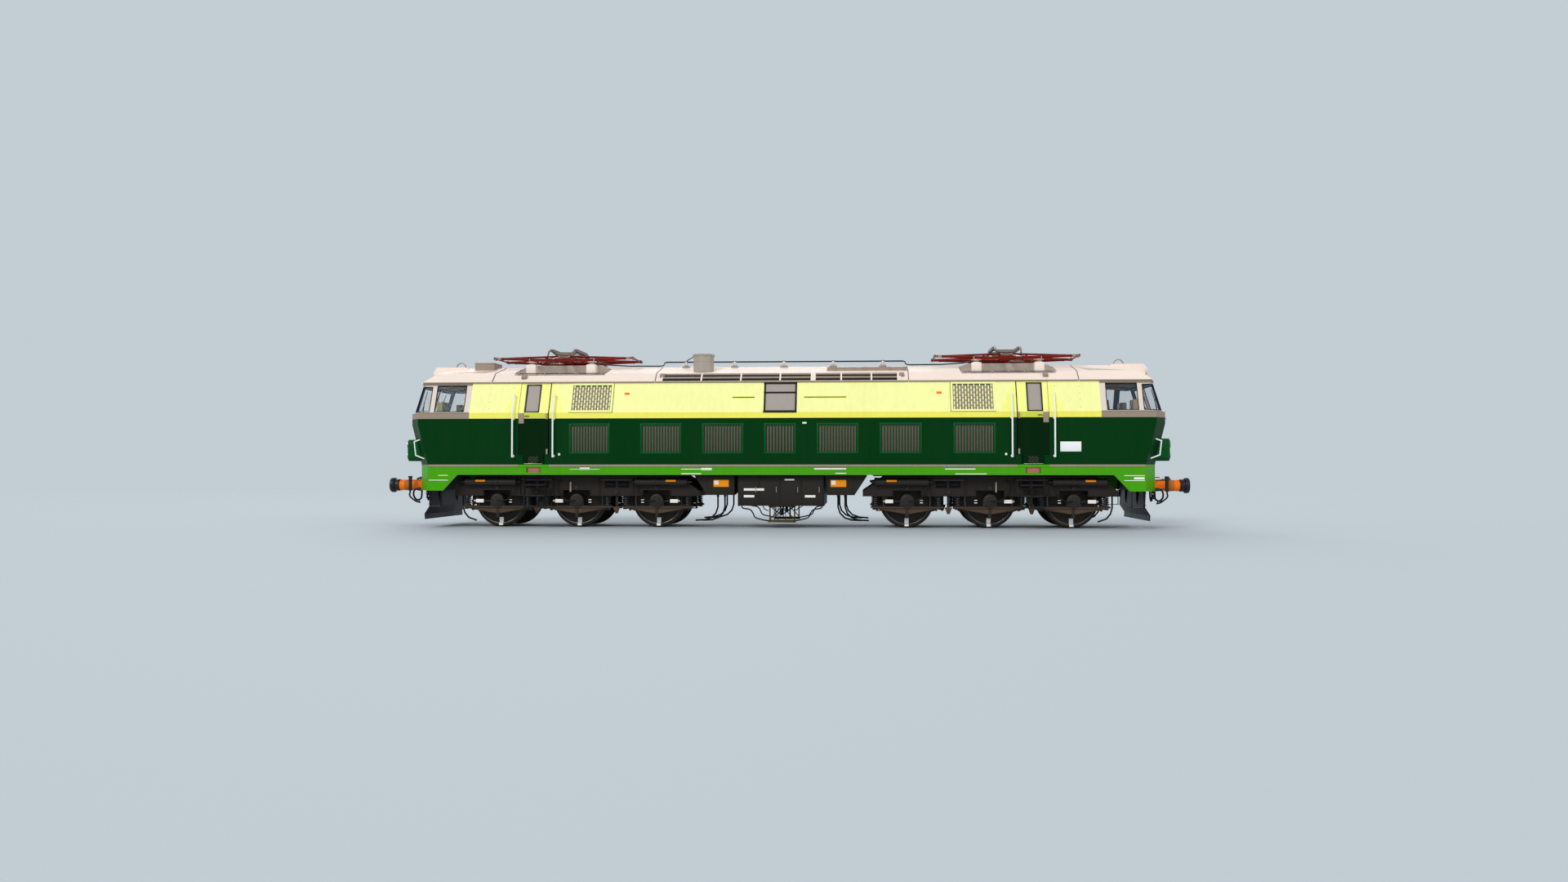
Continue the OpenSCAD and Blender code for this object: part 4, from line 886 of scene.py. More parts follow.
@dataclass
class SideTrim(Fittings):
    """Ledges, blank plates, marks and the middle window of the sides.

    Attributes:
        ledges: X spans of the ledge over the skirt.
        skirt_marks: X span, height and thickness of the painted strips on the skirt.
        window_half: half of the middle window's width.
    """

    ledges: tuple[Span, ...] = ((-8.47, -6.29), (-5.54, 5.54), (6.29, 8.47))
    skirt_marks: tuple[Strip, ...] = (
        (-5.04, -4.31, 1.40, 0.010), (-4.79, -4.55, 1.39, 0.055), (-2.35, -1.87, 1.40, 0.016),
        (-1.87, -1.62, 1.385, 0.05), (-2.35, -1.87, 1.288, 0.022), (0.81, 1.56, 1.40, 0.032),
        (1.31, 1.56, 1.30, 0.02), (3.87, 4.58, 1.40, 0.022), (4.11, 4.84, 1.288, 0.018))
    window_half: float = 0.38

    def ledge(self, piece: Piece) -> None:
        """Adds the ledge where the side walls stand on the skirt."""
        for a, b in self.ledges:
            piece.box((a, 1.464, -0.01), (b, 1.516, 0.014), BEIGE, 0.004)
        for end in ENDS:
            a, b = sorted((end * 5.535, end * 6.295))
            piece.box((a, 1.45, -0.01), (b, 1.512, 0.008), LIGHT_GREEN, 0.004)

    def marks(self, piece: Piece) -> None:
        """Adds the blank plates and painted strips."""
        for a, b, z, thick in self.skirt_marks:
            piece.box((a, z, -0.004), (b, z + thick, 0.003), PLATE)
        piece.box((6.54, 1.82, -0.004), (7.02, 2.05, 0.005), WHITE, 0.0015)
        piece.bolts([(u, v, 0.004) for u in (6.56, 7.0) for v in (1.84, 2.03)], UP, STEEL, 0.008, 0.004)
        for x in (-5.29, 5.29):
            piece.box((x - 0.025, 1.735, -0.004), (x + 0.025, 1.785, 0.006), PLATE, 0.002)
        piece.box((0.53, 2.48, -0.004), (0.63, 2.52, 0.006), PLATE, 0.002)
        for a, b in ((-8.47, -8.0), (8.0, 8.47)):
            piece.box((a, 1.135, -0.004), (b, 1.15, 0.003), PLATE)
            piece.box((a + 0.23 * (a < 0), 1.25, -0.004), (b, 1.265, 0.003), PLATE)
        piece.box((8.22, 1.17, -0.004), (8.46, 1.22, 0.004), PLATE)
        piece.move = LEANING
        for a, b in ((-3.75, -3.63), (3.69, 3.81)):
            piece.box((a, 0.47, -0.004), (b, 0.53, 0.004), ORANGE, 0.001)
        for a, b in ((-1.14, -0.62), (0.565, 1.56)):
            piece.box((a, 0.40, -0.004), (b, 0.425, 0.018), YELLOW, 0.004)
            piece.box((a, 0.385, -0.004), (b, 0.399, 0.010), FRAME_GREEN)

    def seams(self, piece: Piece) -> None:
        """Adds the weld seams, rivets and waist beading of the side sheets, and pale yellow plates as painted
        shade beside the doors.
        """
        for x in (-7.02, -3.7, -2.1, -0.68, 0.68, 2.1, 3.7, 7.02):
            piece.box((x - 0.004, 1.53, -0.004), (x + 0.004, 2.6, 0.0025), LIVERY, 0.001)
        for x in [i * 0.3 for i in range(-28, 29)]:
            if not 5.4 < abs(x) < 6.4:
                piece.bolts([(x, 1.425, 0.0)], UP, LIGHT_GREEN, 0.008, 0.004)
        piece.move = LEANING
        for x in (-7.02, -6.45, 6.45, 7.02):
            piece.bolts([(x, v, 0.0) for v in (0.12, 0.3, 0.48, 0.66)], UP, BEIGE, 0.008, 0.004)
        for a, b in ((-7.49, -6.29), (-5.54, -0.42), (0.42, 5.54), (6.29, 7.49)):
            piece.box((a, -0.004, -0.004), (b, 0.006, 0.004), YELLOW, 0.002)
        # Pale yellow plates beside each door are painted shade for the cheeks of its recess.
        for end in ENDS:
            for a, b, c in ((6.30, 6.62, 6.34), (5.52, 5.18, 5.49)):
                outline = [(end * a, 0.03), (end * b, 0.03), (end * c, 0.74), (end * a, 0.74)]
                piece.plate(outline, Matrix.Translation((0, 0, -0.002)), 0.0035, PANEL_SHADE)

    def window(self, piece: Piece) -> None:
        """Adds the middle window's frame, its bar and the blind behind the glass."""
        half, low, high = self.window_half, 0.024, 0.7745
        for a, b in ((-half - 0.012, -half + 0.028), (half - 0.028, half + 0.012)):
            piece.box((a, low - 0.01, -0.05), (b, high + 0.01, 0.012), FRAME, 0.004)
        bars = ((low - 0.03, low + 0.022, 0.02), (high - 0.03, high + 0.01, 0.012), (0.50, 0.54, 0.008))
        for a, b, out in bars:
            piece.box((-half - 0.02, a, -0.05), (half + 0.012, b, out), FRAME, 0.004)
        piece.box((-half + 0.01, low + 0.01, -0.012), (half - 0.01, high - 0.02, -0.008), PANE_GREY)

    def footholds(self, piece: Piece) -> None:
        """Adds the coloured linings of the foothold pockets."""
        for end in ENDS:
            a, b = sorted((end * 5.748, end * 6.082))
            piece.box((a, 1.322, -0.0345), (b, 1.456, -0.031), FOOTHOLD)
            for u in (a, b - 0.012):
                piece.box((u, 1.322, -0.031), (u + 0.012, 1.456, 0.002), FRAME_GREEN, 0.002)
            piece.box((a, 1.322, -0.031), (b, 1.328, 0.002), LIGHT_GREEN)
            # Black dots are painted shadow in the pocket's holes.
            for i in range(7):
                x = a + 0.05 + i * 0.038
                piece.rod((x, 1.36, -0.0315), (x, 1.36, -0.029), 0.007, SHADOW_BLACK, 8)

    def jobs(self) -> Iterable[Job]:
        """Lists the pieces of the side trim."""
        return (Job("sole_ledges", self.ledge, place=WALL),
                Job("side_marks", self.marks, place=WALL),
                Job("side_seams", self.seams, place=WALL),
                Job("middle_windows", self.window, place=LEANING),
                Job("foothold_linings", self.footholds, place=WALL))


@dataclass
class CabDoors(Fittings):
    """Window, seams, lock plates and vent of each cab door.

    Attributes:
        window: low and high X and low and high height of the window hole.
        leaf: X span of the leaf.
    """

    window: Strip = (5.791, 6.147, 0.022, 0.755)
    leaf: Span = (5.566, 6.282)

    def glazing(self, piece: Piece, place: Matrix) -> None:
        """Adds the window's dark frame and its blind."""
        piece.move = place @ LEANING
        a, b, low, high = self.window
        for u, v in ((a - 0.006, a + 0.026), (b - 0.026, b + 0.006)):
            piece.box((u, low - 0.006, -0.045), (v, high + 0.004, 0.004), BLACK, 0.003)
        for u, v in ((low - 0.008, low + 0.022), (high - 0.02, high + 0.004)):
            piece.box((a - 0.006, u, -0.045), (b + 0.006, v, 0.004), BLACK, 0.003)
        piece.box((a + 0.015, low + 0.01, -0.03), (b - 0.015, high - 0.01, -0.02), PANE_GREY)

    def fittings(self, piece: Piece, place: Matrix) -> None:
        """Adds the lock and hinge plates, the handle, the vent and painted shadow lines along the leaf's
        edges.
        """
        piece.move = place @ WALL
        a, b = self.leaf
        piece.box((b - 0.13, 2.50, -0.008), (b - 0.004, 2.748, 0.008), BEIGE, 0.003)
        piece.bolts([(b - 0.11, z, 0.007) for z in (2.53, 2.72)], UP, STEEL, 0.009, 0.005)
        piece.rod((b - 0.15, 2.675, 0.012), (b - 0.26, 2.675, 0.012), 0.009, NAVY, 12)
        piece.rod((b - 0.15, 2.675, -0.008), (b - 0.15, 2.675, 0.02), 0.014, STEEL, 12)
        piece.box((a + 0.004, 2.60, -0.008), (a + 0.05, 2.748, 0.006), BEIGE, 0.003)
        piece.box((a + 0.006, 1.76, -0.008), (a + 0.046, 1.89, 0.008), BEIGE, 0.003)
        piece.box((5.70, 1.53, -0.008), (6.15, 1.542, 0.004), STEEL, 0.002)
        middle = (a + b) / 2
        for i in range(9):
            for j in range(6):
                u, v = middle - 0.105 + i * 0.026, 1.565 + j * 0.027
                if (i + 2 * j) % 3:
                    piece.rod((u, v, -0.008), (u, v, -0.0025), 0.009, SLAT, 6)
        # Black lines along the leaf's edges are painted shadow in the gaps.
        for u in (a + 0.018, b - 0.018):
            piece.box((u - 0.003, 1.78, -0.008), (u + 0.003, 2.6, -0.002), SHADOW_BLACK)
        piece.box((a + 0.03, 2.606, -0.008), (b - 0.03, 2.616, -0.001), SHADED_DOOR)

    def trim(self, place: Matrix, piece: Piece) -> None:
        """Adds everything on one door."""
        self.glazing(piece, place)
        self.fittings(piece, place)

    def jobs(self) -> Iterable[Job]:
        """Lists the trim of the four doors."""
        for number, (across, along) in enumerate(product((1, -1), ENDS), 1):
            place = Matrix.Diagonal((along, across, 1, 1))
            yield Job(f"cab_door_trim_{number}", partial(self.trim, place), (), body=f"cab_door_{number}")


# ------------------------------------------------------------------ cabs


@dataclass
class CabFronts(Fittings):
    """Window gaskets, wipers, lamps and fronts of the cabs.

    Attributes:
        sill: height of the window openings' foot.
        head: height of the side window's head.
        screen_head: height of the other windows' head.
    """

    sill: float = 2.79
    head: float = 3.43
    screen_head: float = 3.40

    def corner(self, z: float) -> Point:
        """Gives the place of the body's corner behind the facet, at a height."""
        y = side_y(z)
        return (front_x(y, z), -y, z)

    def gasket(self, piece: Piece, points: Sequence[Point], radius: float = 0.011) -> None:
        """Adds a rubber gasket round a window."""
        start = tuple((a + b) / 2 for a, b in zip(points[0], points[-1]))
        piece.tube([start, *points, start], radius, RUBBER, 8)

    def windows(self, piece: Piece) -> None:
        """Adds the gaskets of one side's windows."""
        low, high = self.sill, self.screen_head
        screen = ((0.05, low), (1.015, low), (1.015, high), (0.05, high))
        self.gasket(piece, [(front_x(y, z), -y, z) for y, z in screen])
        side = ((7.63, low), (8.35, low), (8.35, self.head), (7.63, self.head))
        self.gasket(piece, [(x, -side_y(z), z) for x, z in side])
        self.gasket(piece,
                    [(8.475, -side_y(low), low), self.corner(low), (front_x(1.115, low), -1.115, low),
                     (front_x(1.115, high), -1.115, high), self.corner(high), (8.475, -side_y(high), high)])

    def wiper(self, piece: Piece) -> None:
        """Adds a windscreen wiper: a spindle, two arms and a blade."""
        def at(y: float, z: float, out: float) -> Point:
            """Gives a place in front of the windscreen."""
            return (front_x(y, z) + out, -y, z)
        piece.rod(at(0.45, 2.76, -0.02), at(0.45, 2.77, 0.035), 0.02, BLACK, 12)
        for shift in (0.0, 0.04):
            piece.rod(at(0.45 + shift, 2.775, 0.03), at(0.62 + shift, 3.08, 0.026), 0.007, BLACK, 8)
        piece.rod(at(0.61, 2.86, 0.02), at(0.67, 3.32, 0.014), 0.009, RUBBER, 8)

    def lamps(self, piece: Piece) -> None:
        """Adds the rims and lenses of one lamp pod."""
        for z, radius, lens in ((2.0, 0.092, LENS), (1.74, 0.075, RED_LENS)):
            rim = [(radius, 0.0), (radius + 0.012, 0.0), (radius + 0.012, 0.03), (radius, 0.034),
                   (radius - 0.008, 0.02)]
            piece.lathe(rim + [rim[0]], (9.135, -0.99, z), AHEAD, STEEL, 32)
            dome = [(0.0, 0.022), (radius * 0.45, 0.02), (radius * 0.8, 0.013), (radius, 0.002),
                    (radius, -0.004), (0.0, -0.004)]
            piece.lathe(dome, (9.139, -0.99, z), AHEAD, lens, 32)
        piece.box((9.06, -1.116, 1.85), (9.146, -0.864, 1.862), FRAME_GREEN, 0.003)

    def front(self, piece: Piece) -> None:
        """Adds the sheet seams, waist bead, corner foot plates and hand holds of the front."""
        for z, out in ((2.62, 0.006), (2.755, -0.045)):
            x = front_x(0, z if z < WAIST else WAIST) + out
            side = x - 0.43 * math.tan(FACET)
            piece.tube([(x, 0.0, z), (x, -FRONT_HALF, z), (side, -HALF_WIDTH - 0.002, z),
                        (7.49, -HALF_WIDTH - 0.002, z)], 0.006, BEIGE, 6)
        for y in (0.35, 0.72):
            piece.rod((front_x(y, 1.55) - 0.002, -y, 1.55), (front_x(y, 2.45) - 0.002, -y, 2.45), 0.006,
                      LIVERY, 6)
        piece.box((8.79, -0.6, 1.49), (8.9, 0.0, 1.516), FRAME, 0.005)
        for y in (0.2, 0.5):
            piece.box((8.79, -y - 0.03, 1.56), (8.87, -y + 0.03, 1.60), FRAME, 0.005)
        piece.tube([(8.80, -0.7, 1.40), (8.86, -0.7, 1.40), (8.86, -0.7, 1.2), (8.80, -0.7, 1.2)], 0.009,
                   WHITE, 8)
        piece.box((8.798, -1.0, 1.30), (8.812, -0.86, 1.36), ORANGE, 0.003)
        piece.box((8.798, -1.02, 1.462), (8.806, 0.0, 1.5), BEIGE, 0.002)

    def rails(self, piece: Piece) -> None:
        """Adds the enamelled sleeves of the rails beside the doors."""
        out, knee = HALF_WIDTH + 0.0855, WAIST + 0.02
        for x in (5.43, 6.41):
            piece.rod((x, -out, 1.69), (x, -out, knee), 0.021, WHITE, 16)
            top = LEANING @ Vector((x, 0.47, 0.09))
            piece.rod((x, -out, knee), top, 0.021, WHITE, 16)
            for z in (1.72, WAIST - 0.14):
                piece.rod((x, -HALF_WIDTH, z), (x, -HALF_WIDTH - 0.012, z), 0.034, WHITE, 16)

    def facia(self, piece: Piece) -> None:
        """Adds the ledge strip round the cab's foot."""
        z = 1.49
        points = [(8.43, -HALF_WIDTH - 0.004, z), (front_x(HALF_WIDTH, z), -HALF_WIDTH - 0.004, z),
                  (front_x(0, z) + 0.004, -FRONT_HALF, z), (front_x(0, z) + 0.004, 0.0, z)]
        piece.tube(points, 0.012, BEIGE, 6)

    def jobs(self) -> Iterable[Job]:
        """Lists the fronts' pieces."""
        return (Job("cab_window_gaskets", self.windows, BOTH),
                Job("windscreen_wipers", self.wiper, BOTH),
                Job("lamp_lenses", self.lamps, BOTH),
                Job("cab_front_trim", self.front, BOTH),
                Job("cab_foot_ledge", self.facia, BOTH),
                Job("door_rail_sleeves", self.rails, BOTH))


@dataclass
class TopLamps(Fittings):
    """The single lamp over each windscreen.

    Attributes:
        height: height of the lamp's middle.
        radius: radius of its lens.
    """

    height: float = 3.8
    radius: float = 0.085

    def rims(self, piece: Piece) -> None:
        """Adds rim, lens and hood of the lamp at both ends."""
        r = self.radius
        rim = [(r, 0.0), (r + 0.014, 0.0), (r + 0.014, 0.03), (r, 0.034), (r - 0.01, 0.02), (r, 0.0)]
        piece.lathe(rim, (8.842, 0, self.height), AHEAD, STEEL)
        dome = [(0.0, 0.02), (r * 0.5, 0.017), (r * 0.85, 0.009), (r, 0.0), (r, -0.006), (0.0, -0.006)]
        piece.lathe(dome, (8.868, 0, self.height), AHEAD, LENS)
        for y in (-0.115, 0.095):
            piece.box((8.76, y, 3.66), (8.84, y + 0.02, 3.78), ROOF_SHADE, 0.004)

    def jobs(self) -> Iterable[Job]:
        """Lists the one piece that holds both lamps."""
        return (Job("roof_lamp_lenses", self.rims, (0,)),)


@dataclass
class CabRooms(Fittings):
    """What is seen through the cab windows: instruments, screens, linings and the bulkhead door."""

    def instruments(self, hood: Finish, piece: Piece) -> None:
        """Adds the instrument boxes, levers and screens of one cab."""
        for y in (-0.71, 0.71):
            piece.box((8.345, y - 0.2, 2.66), (8.50, y + 0.2, 3.06), hood, 0.02)
            for i in range(3):
                z = 2.82 + 0.085 * i
                dial = y - 0.1 + 0.1 * (i % 2)
                piece.rod((8.347, dial, z), (8.335, dial, z), 0.035, SCREEN, 20)
            piece.box((8.335, y - 0.03, 2.76), (8.35, y + 0.16, 2.80), SCREEN, 0.003)
            piece.rod((8.42, y + 0.24, 2.70), (8.40, y + 0.25, 2.94), 0.012, NAVY, 10)
            piece.rod((8.40, y + 0.25, 2.92), (8.40, y + 0.25, 2.98), 0.026, NAVY, 12)
        for y in (-0.45, -0.3, 0.3, 0.45):
            piece.rod((8.42, y, 2.63), (8.42, y, 2.73), 0.012, STEEL, 10)
            piece.rod((8.42, y, 2.73), (8.42, y, 2.75), 0.02, BLACK, 12)
        piece.box((8.62, -0.95, 2.695), (8.83, 0.95, 2.703), DESK, 0.003)

    def rooms(self, piece: Piece) -> None:
        """Adds the ceilings' rails, the bulkhead door and the sun blinds."""
        # The navy post and head are painted shade inside the cab.
        piece.box((7.325, -0.31, 1.80), (7.345, -0.285, 3.35), NAVY, 0.004)
        piece.box((7.325, -0.36, 3.34), (7.345, 0.0, 3.40), NAVY, 0.004)
        piece.box((7.40, -1.0, 3.405), (8.55, -0.72, 3.449), BLIND_OLIVE, 0.006)
        piece.box((7.46, -0.66, 3.40), (8.35, -0.5, 3.449), RIM_ORANGE, 0.006)
        piece.box((7.36, -1.1, 3.0), (7.325, -0.5, 3.1), NAVY, 0.006)
        piece.rod((8.74, -0.95, 3.37), (8.74, -0.1, 3.37), 0.022, NAVY, 12)

    def jobs(self) -> Iterable[Job]:
        """Lists the pieces in both cabs."""
        for end, label, hood in ((-1, "left", OLIVE_PAINT), (1, "right", TAN_PAINT)):
            yield Job(f"cab_instruments_{label}", partial(self.instruments, hood), (), mirror_x(end))
        yield Job("cab_room_trim", self.rooms, BOTH)


@dataclass
class Seats:
    """The crew's cushions and backs, crowned and piped.

    Attributes:
        x: distance of a seat from the middle.
        y: distance of a seat from the middle line.
        z: height of the seat pan.
    """

    x: float = 7.96
    y: float = 0.62
    z: float = 2.3

    def pad(self, piece: Piece, low: Point, high: Point, face: int, finish: Finish) -> None:
        """Starts a piece with a pad whose faces crown and whose sides pull in between the corners.

        Args:
            piece: the piece that takes the pad.
            low: lowest corner.
            high: highest corner.
            face: the axis that the crowned faces look along.
            finish: its cloth.
        """
        size = Vector(high) - Vector(low)
        centre = (Vector(high) + Vector(low)) / 2
        verts = bmesh.ops.create_cube(piece.mesh, size=1.0)["verts"]
        bmesh.ops.subdivide_edges(piece.mesh, edges=edges_of(verts), cuts=11, use_grid_fill=True)
        made = piece.mesh.verts[:]
        flat = [i for i in range(3) if i != face]
        for vert in made:
            u, v = vert.co[flat[0]] * 2, vert.co[flat[1]] * 2
            crown = (1 - u ** 4) * (1 - v ** 4)
            channel = 0.06 * math.exp(-((abs(v) - 0.4) / 0.05) ** 2)
            depth = vert.co[face]
            vert.co[face] = depth * (0.62 + 0.38 * crown ** 0.5 - channel * (abs(u) < 0.92))
            edge = 1 - 0.035 * (1 - abs(depth * 2)) if abs(depth) < 0.5 else 0.985
            for axis, other in ((flat[0], v), (flat[1], u)):
                if abs(vert.co[axis]) > 0.49:
                    vert.co[axis] *= edge - 0.03 * (1 - other ** 2)
        matrix = Matrix.Translation(centre) @ Matrix.Diagonal((*size, 1.0))
        bmesh.ops.transform(piece.mesh, matrix=matrix, verts=made)
        piece.dress(made, finish)

    def piping(self, piece: Piece, half: Span, centre: Point, face: int, finish: Finish) -> None:
        """Adds the sewn cord round a pad's middle."""
        a, b = half
        round_corner = [(a, b * 0.8), (a * 0.96, b * 0.96), (a * 0.8, b)]
        loop = round_corner + [(-u, v) for u, v in reversed(round_corner)]
        loop += [(-u, -v) for u, v in loop]
        points = []
        for u, v in loop:
            place = [u, v]
            place.insert(face, 0.0)
            points.append(Vector(place) + Vector(centre))
        piece.tube([(points[-1] + points[0]) / 2, *points, (points[-1] + points[0]) / 2], 0.006, finish, 6)

    def build(self) -> None:
        """Builds the cushion and the back of the four seats."""
        first = True
        for end, half, cloth in ((-1, "left", OLIVE), (1, "right", TAN)):
            for side, row in ((-1, "near"), (1, "far")):
                label = f"{half}_{row}"
                place = mirror_x(end) @ Matrix.Translation((self.x, side * self.y, self.z))
                for part in ("cushion", "backrest"):
                    piece = Piece(f"seat_{part}_{label}")
                    if part == "cushion":
                        piece.move = place
                        self.pad(piece, (-0.175, -0.235, 0.002), (0.235, 0.235, 0.112), 2, cloth)
                        self.piping(piece, (0.196, 0.226), (0.03, 0.0, 0.057), 2, cloth)
                    else:
                        piece.move = place @ Matrix.Rotation(math.radians(-6), 4, "Y")
                        self.pad(piece, (-0.184, -0.228, 0.132), (-0.08, 0.228, 0.778), 0, cloth)
                        self.piping(piece, (0.219, 0.314), (-0.132, 0.0, 0.455), 0, cloth)
                    made = piece.done("body", ["seat_cushions"] if first else (), 60)
                    first = False


# ------------------------------------------------------------------ roofs


@dataclass
class Roofs(Fittings):
    """Seams, vents, lugs and fittings of the roofs.

    Attributes:
        seams: distances of the roof seams from the middle.
        vent: X span of the roof's side vents.
        vent_posts: X spans of the posts between them.
    """

    seams: tuple[float, ...] = (3.04, 7.03)
    vent: Span = (-2.86, 2.85)
    vent_posts: tuple[Span, ...] = (
        (-2.9, -2.86), (-1.94, -1.90), (-0.985, -0.945), (-0.04, 0.0),
        (0.71, 0.83), (1.42, 1.46), (2.14, 2.18), (2.77, 2.86))

    def seam_lines(self, piece: Piece) -> None:
        """Adds the seams, and the gutters in beige as painted shade."""
        for x in self.seams:
            points = [(x, -1.203, 3.512), (x, -0.902, 3.744), (x, 0.0, 3.954)]
            piece.tube(points, 0.007, SEAM, 6)
        # The gutters are beige: the cream darkened as painted shade.
        for a, b in ((0.0, 3.03), (3.05, 7.02), (7.04, 8.72)):
            piece.box((a, -1.236, 3.484), (b, -1.162, 3.516), BEIGE, 0.005)

    def vents(self, piece: Piece) -> None:
        """Adds the slatted vents along both shoulders, with a black sheet as painted shadow inside and beige
        slats as painted shade.
        """
        a, b = self.vent
        # A black sheet behind the slats is painted shadow inside the vent.
        piece.box((a, 0.03, -0.002), (b, 0.36, 0.003), SHADOW_BLACK)
        # The slats are beige: the roof cream darkened as painted shade.
        for low, high in ((0.135, 0.195), (0.275, 0.33)):
            piece.box((a, low, -0.002), (b, high, 0.024), BEIGE, 0.004)
        for v in (0.065, 0.1, 0.225, 0.25):
            turn = Matrix.Translation((0, v, 0.006)) @ Matrix.Rotation(math.radians(40), 4, "X")
            piece.move = ROOF_SIDE @ turn
            piece.box((a, -0.012, -0.0015), (b, 0.012, 0.0015), FRAME)
        piece.move = ROOF_SIDE
        for u, v in self.vent_posts:
            piece.box((u, 0.02, -0.002), (v, 0.345, 0.028), ROOF, 0.004)
        piece.box((a - 0.04, 0.014, -0.002), (b + 0.01, 0.03, 0.022), ROOF, 0.003)
        piece.box((a - 0.04, 0.33, -0.002), (b + 0.01, 0.35, 0.026), ROOF, 0.003)

    def lugs(self, piece: Piece) -> None:
        """Adds the lifting lugs, painted shade for the cab roofs' shallow recesses, and the hand grips."""
        for x in (-2.88, 2.88):
            piece.box((x - 0.06, 0.19, -0.002), (x + 0.06, 0.31, 0.05), BEIGE, 0.008)
            piece.rod((x, 0.25, 0.049), (x, 0.25, 0.056), 0.026, STEEL, 16)
        for x in (-6.27, 6.27):
            piece.box((x - 0.06, 0.15, -0.002), (x + 0.06, 0.28, 0.06), BEIGE, 0.008)
        piece.move = ROOF_TOP
        for end in ENDS:
            # A flat, darker triangle is painted shade for the shallow recess.
            outline = [(end * 8.23, 0.12), (end * 7.34, 0.12), (end * 7.13, 0.56)]
            piece.plate(outline, Matrix.Translation((0, 0, -0.001)), 0.004, ROOF_SHADE)
            for x in (4.6, 5.0, 5.42, 5.9, 6.3):
                a, b = sorted((end * (x - 0.025), end * (x + 0.025)))
                piece.move = Matrix.Identity(4)
                piece.box((a, -0.93, 3.735), (b, -0.885, 3.762), BEIGE, 0.005)
                piece.move = ROOF_TOP

    def wells(self, piece: Piece) -> None:
        """Adds the rims of the pantograph wells, and thin sheets on their floors and back walls in a darker
        cream as painted shade.
        """
        # Floor and back-wall sheets are painted shade.
        piece.box((4.315, -0.93, 3.6902), (6.535, -0.252, 3.694), WELL_SHADE, 0.001)
        outline = [(4.32, 3.694), (6.53, 3.694), (6.53, 3.88), (6.59, 3.88), (6.34, 3.988), (4.51, 3.988),
                   (4.26, 3.88), (4.32, 3.88)]
        piece.plate(outline, plane((0, -0.2505, 0), UP, NEAR), 0.002, WELL_SHADE)
        piece.rod((4.35, -0.90, 3.742), (6.5, -0.90, 3.742), 0.009, SEAM, 8)
        for x in (4.4, 5.05, 5.42, 5.8, 6.45):
            piece.box((x - 0.02, -0.92, 3.70), (x + 0.02, -0.88, 3.765), BEIGE, 0.004)
        for x in (4.3, 6.55):
            piece.tube([(x, -0.90, 3.744), (x, -0.25, 3.896)], 0.007, SEAM, 6)

    def canister(self, piece: Piece) -> None:
        """Adds the rims, lugs and bands of the round housing."""
        centre = (-1.93, -0.62, 0.0)
        for low, high, radius in ((3.752, 3.775, 0.262), (4.172, 4.19, 0.259), (4.02, 4.03, 0.253)):
            piece.band((0.245, radius), (low, high), centre, UP, SILVER, 48)
        dome = [(0.0, 4.222), (0.12, 4.219), (0.2, 4.208), (0.24, 4.19), (0.24, 4.18), (0.0, 4.18)]
        piece.lathe(dome, centre, UP, SILVER, 48)
        for i in range(8):
            turn = i * math.pi / 4 + 0.3
            x, y = centre[0] + 0.255 * math.cos(turn), centre[1] + 0.255 * math.sin(turn)
            piece.box((x - 0.015, y - 0.015, 4.15), (x + 0.015, y + 0.015, 4.21), SILVER, 0.004)

    def high_voltage(self, piece: Piece) -> None:
        """Adds the insulators, the bar's bent ends and its leads to the pantographs."""
        bell = [(0.0, 0.13), (0.03, 0.13), (0.034, 0.11), (0.085, 0.096), (0.088, 0.088), (0.045, 0.08),
                (0.045, 0.066), (0.1, 0.05), (0.103, 0.042), (0.05, 0.034), (0.055, 0.0), (0.0, 0.0)]
        foot = [(0.1, 3.915), (0.1, 3.962), (0.075, 3.972), (0.0, 3.972), (0.0, 3.915), (0.1, 3.915)]
        for x in (-2.45, -1.23, 0.0, 1.22, 2.45):
            piece.lathe(foot, (x, 0, 0), UP, BEIGE, 24)
            piece.lathe(bell, (x, 0, 3.962), UP, PORCELAIN, 28)
            piece.box((x - 0.03, -0.028, 4.062), (x + 0.03, 0.028, 4.106), BLACK, 0.006)
        for end in ENDS:
            lead = ((2.9, 4.08), (2.99, 4.07), (3.02, 4.0), (3.12, 3.985), (3.9, 3.99), (4.4, 4.02),
                    (4.7, 4.07))
            piece.tube([(end * x, 0, z) for x, z in lead], 0.016, BLACK, 8)
        points = [(-2.45, 0, 4.1), (-2.35, -0.1, 4.15), (-2.25, -0.35, 4.16), (-2.1, -0.55, 4.2)]
        piece.tube(points, 0.012, BLACK, 8)

    def duct(self, piece: Piece) -> None:
        """Adds the cable duct's lid and brackets."""
        piece.box((1.08, -0.69, 3.868), (3.03, -0.55, 3.88), BEIGE, 0.004)
        for x in (1.3, 2.0, 2.62, 2.95):
            piece.box((x - 0.02, -0.70, 3.75), (x + 0.02, -0.675, 3.885), BEIGE, 0.004)
        piece.box((-7.74, -0.34, 4.045), (-7.23, 0.34, 4.062), BEIGE, 0.005)
        piece.bolts([(x, y, 4.061) for x in (-7.7, -7.27) for y in (-0.3, 0.0, 0.3)], UP, STEEL, 0.012, 0.008)

    def jobs(self) -> Iterable[Job]:
        """Lists the roof pieces."""
        return (Job("roof_seams", self.seam_lines, BOTH),
                Job("roof_vents", self.vents, place=ROOF_SIDE),
                Job("roof_lugs", self.lugs, place=ROOF_SIDE),
                Job("well_linings", self.wells, BOTH),
                Job("canister_trim", self.canister, ()),
                Job("busbar_insulators", self.high_voltage, ()),
                Job("cable_duct_trim", self.duct, ()))


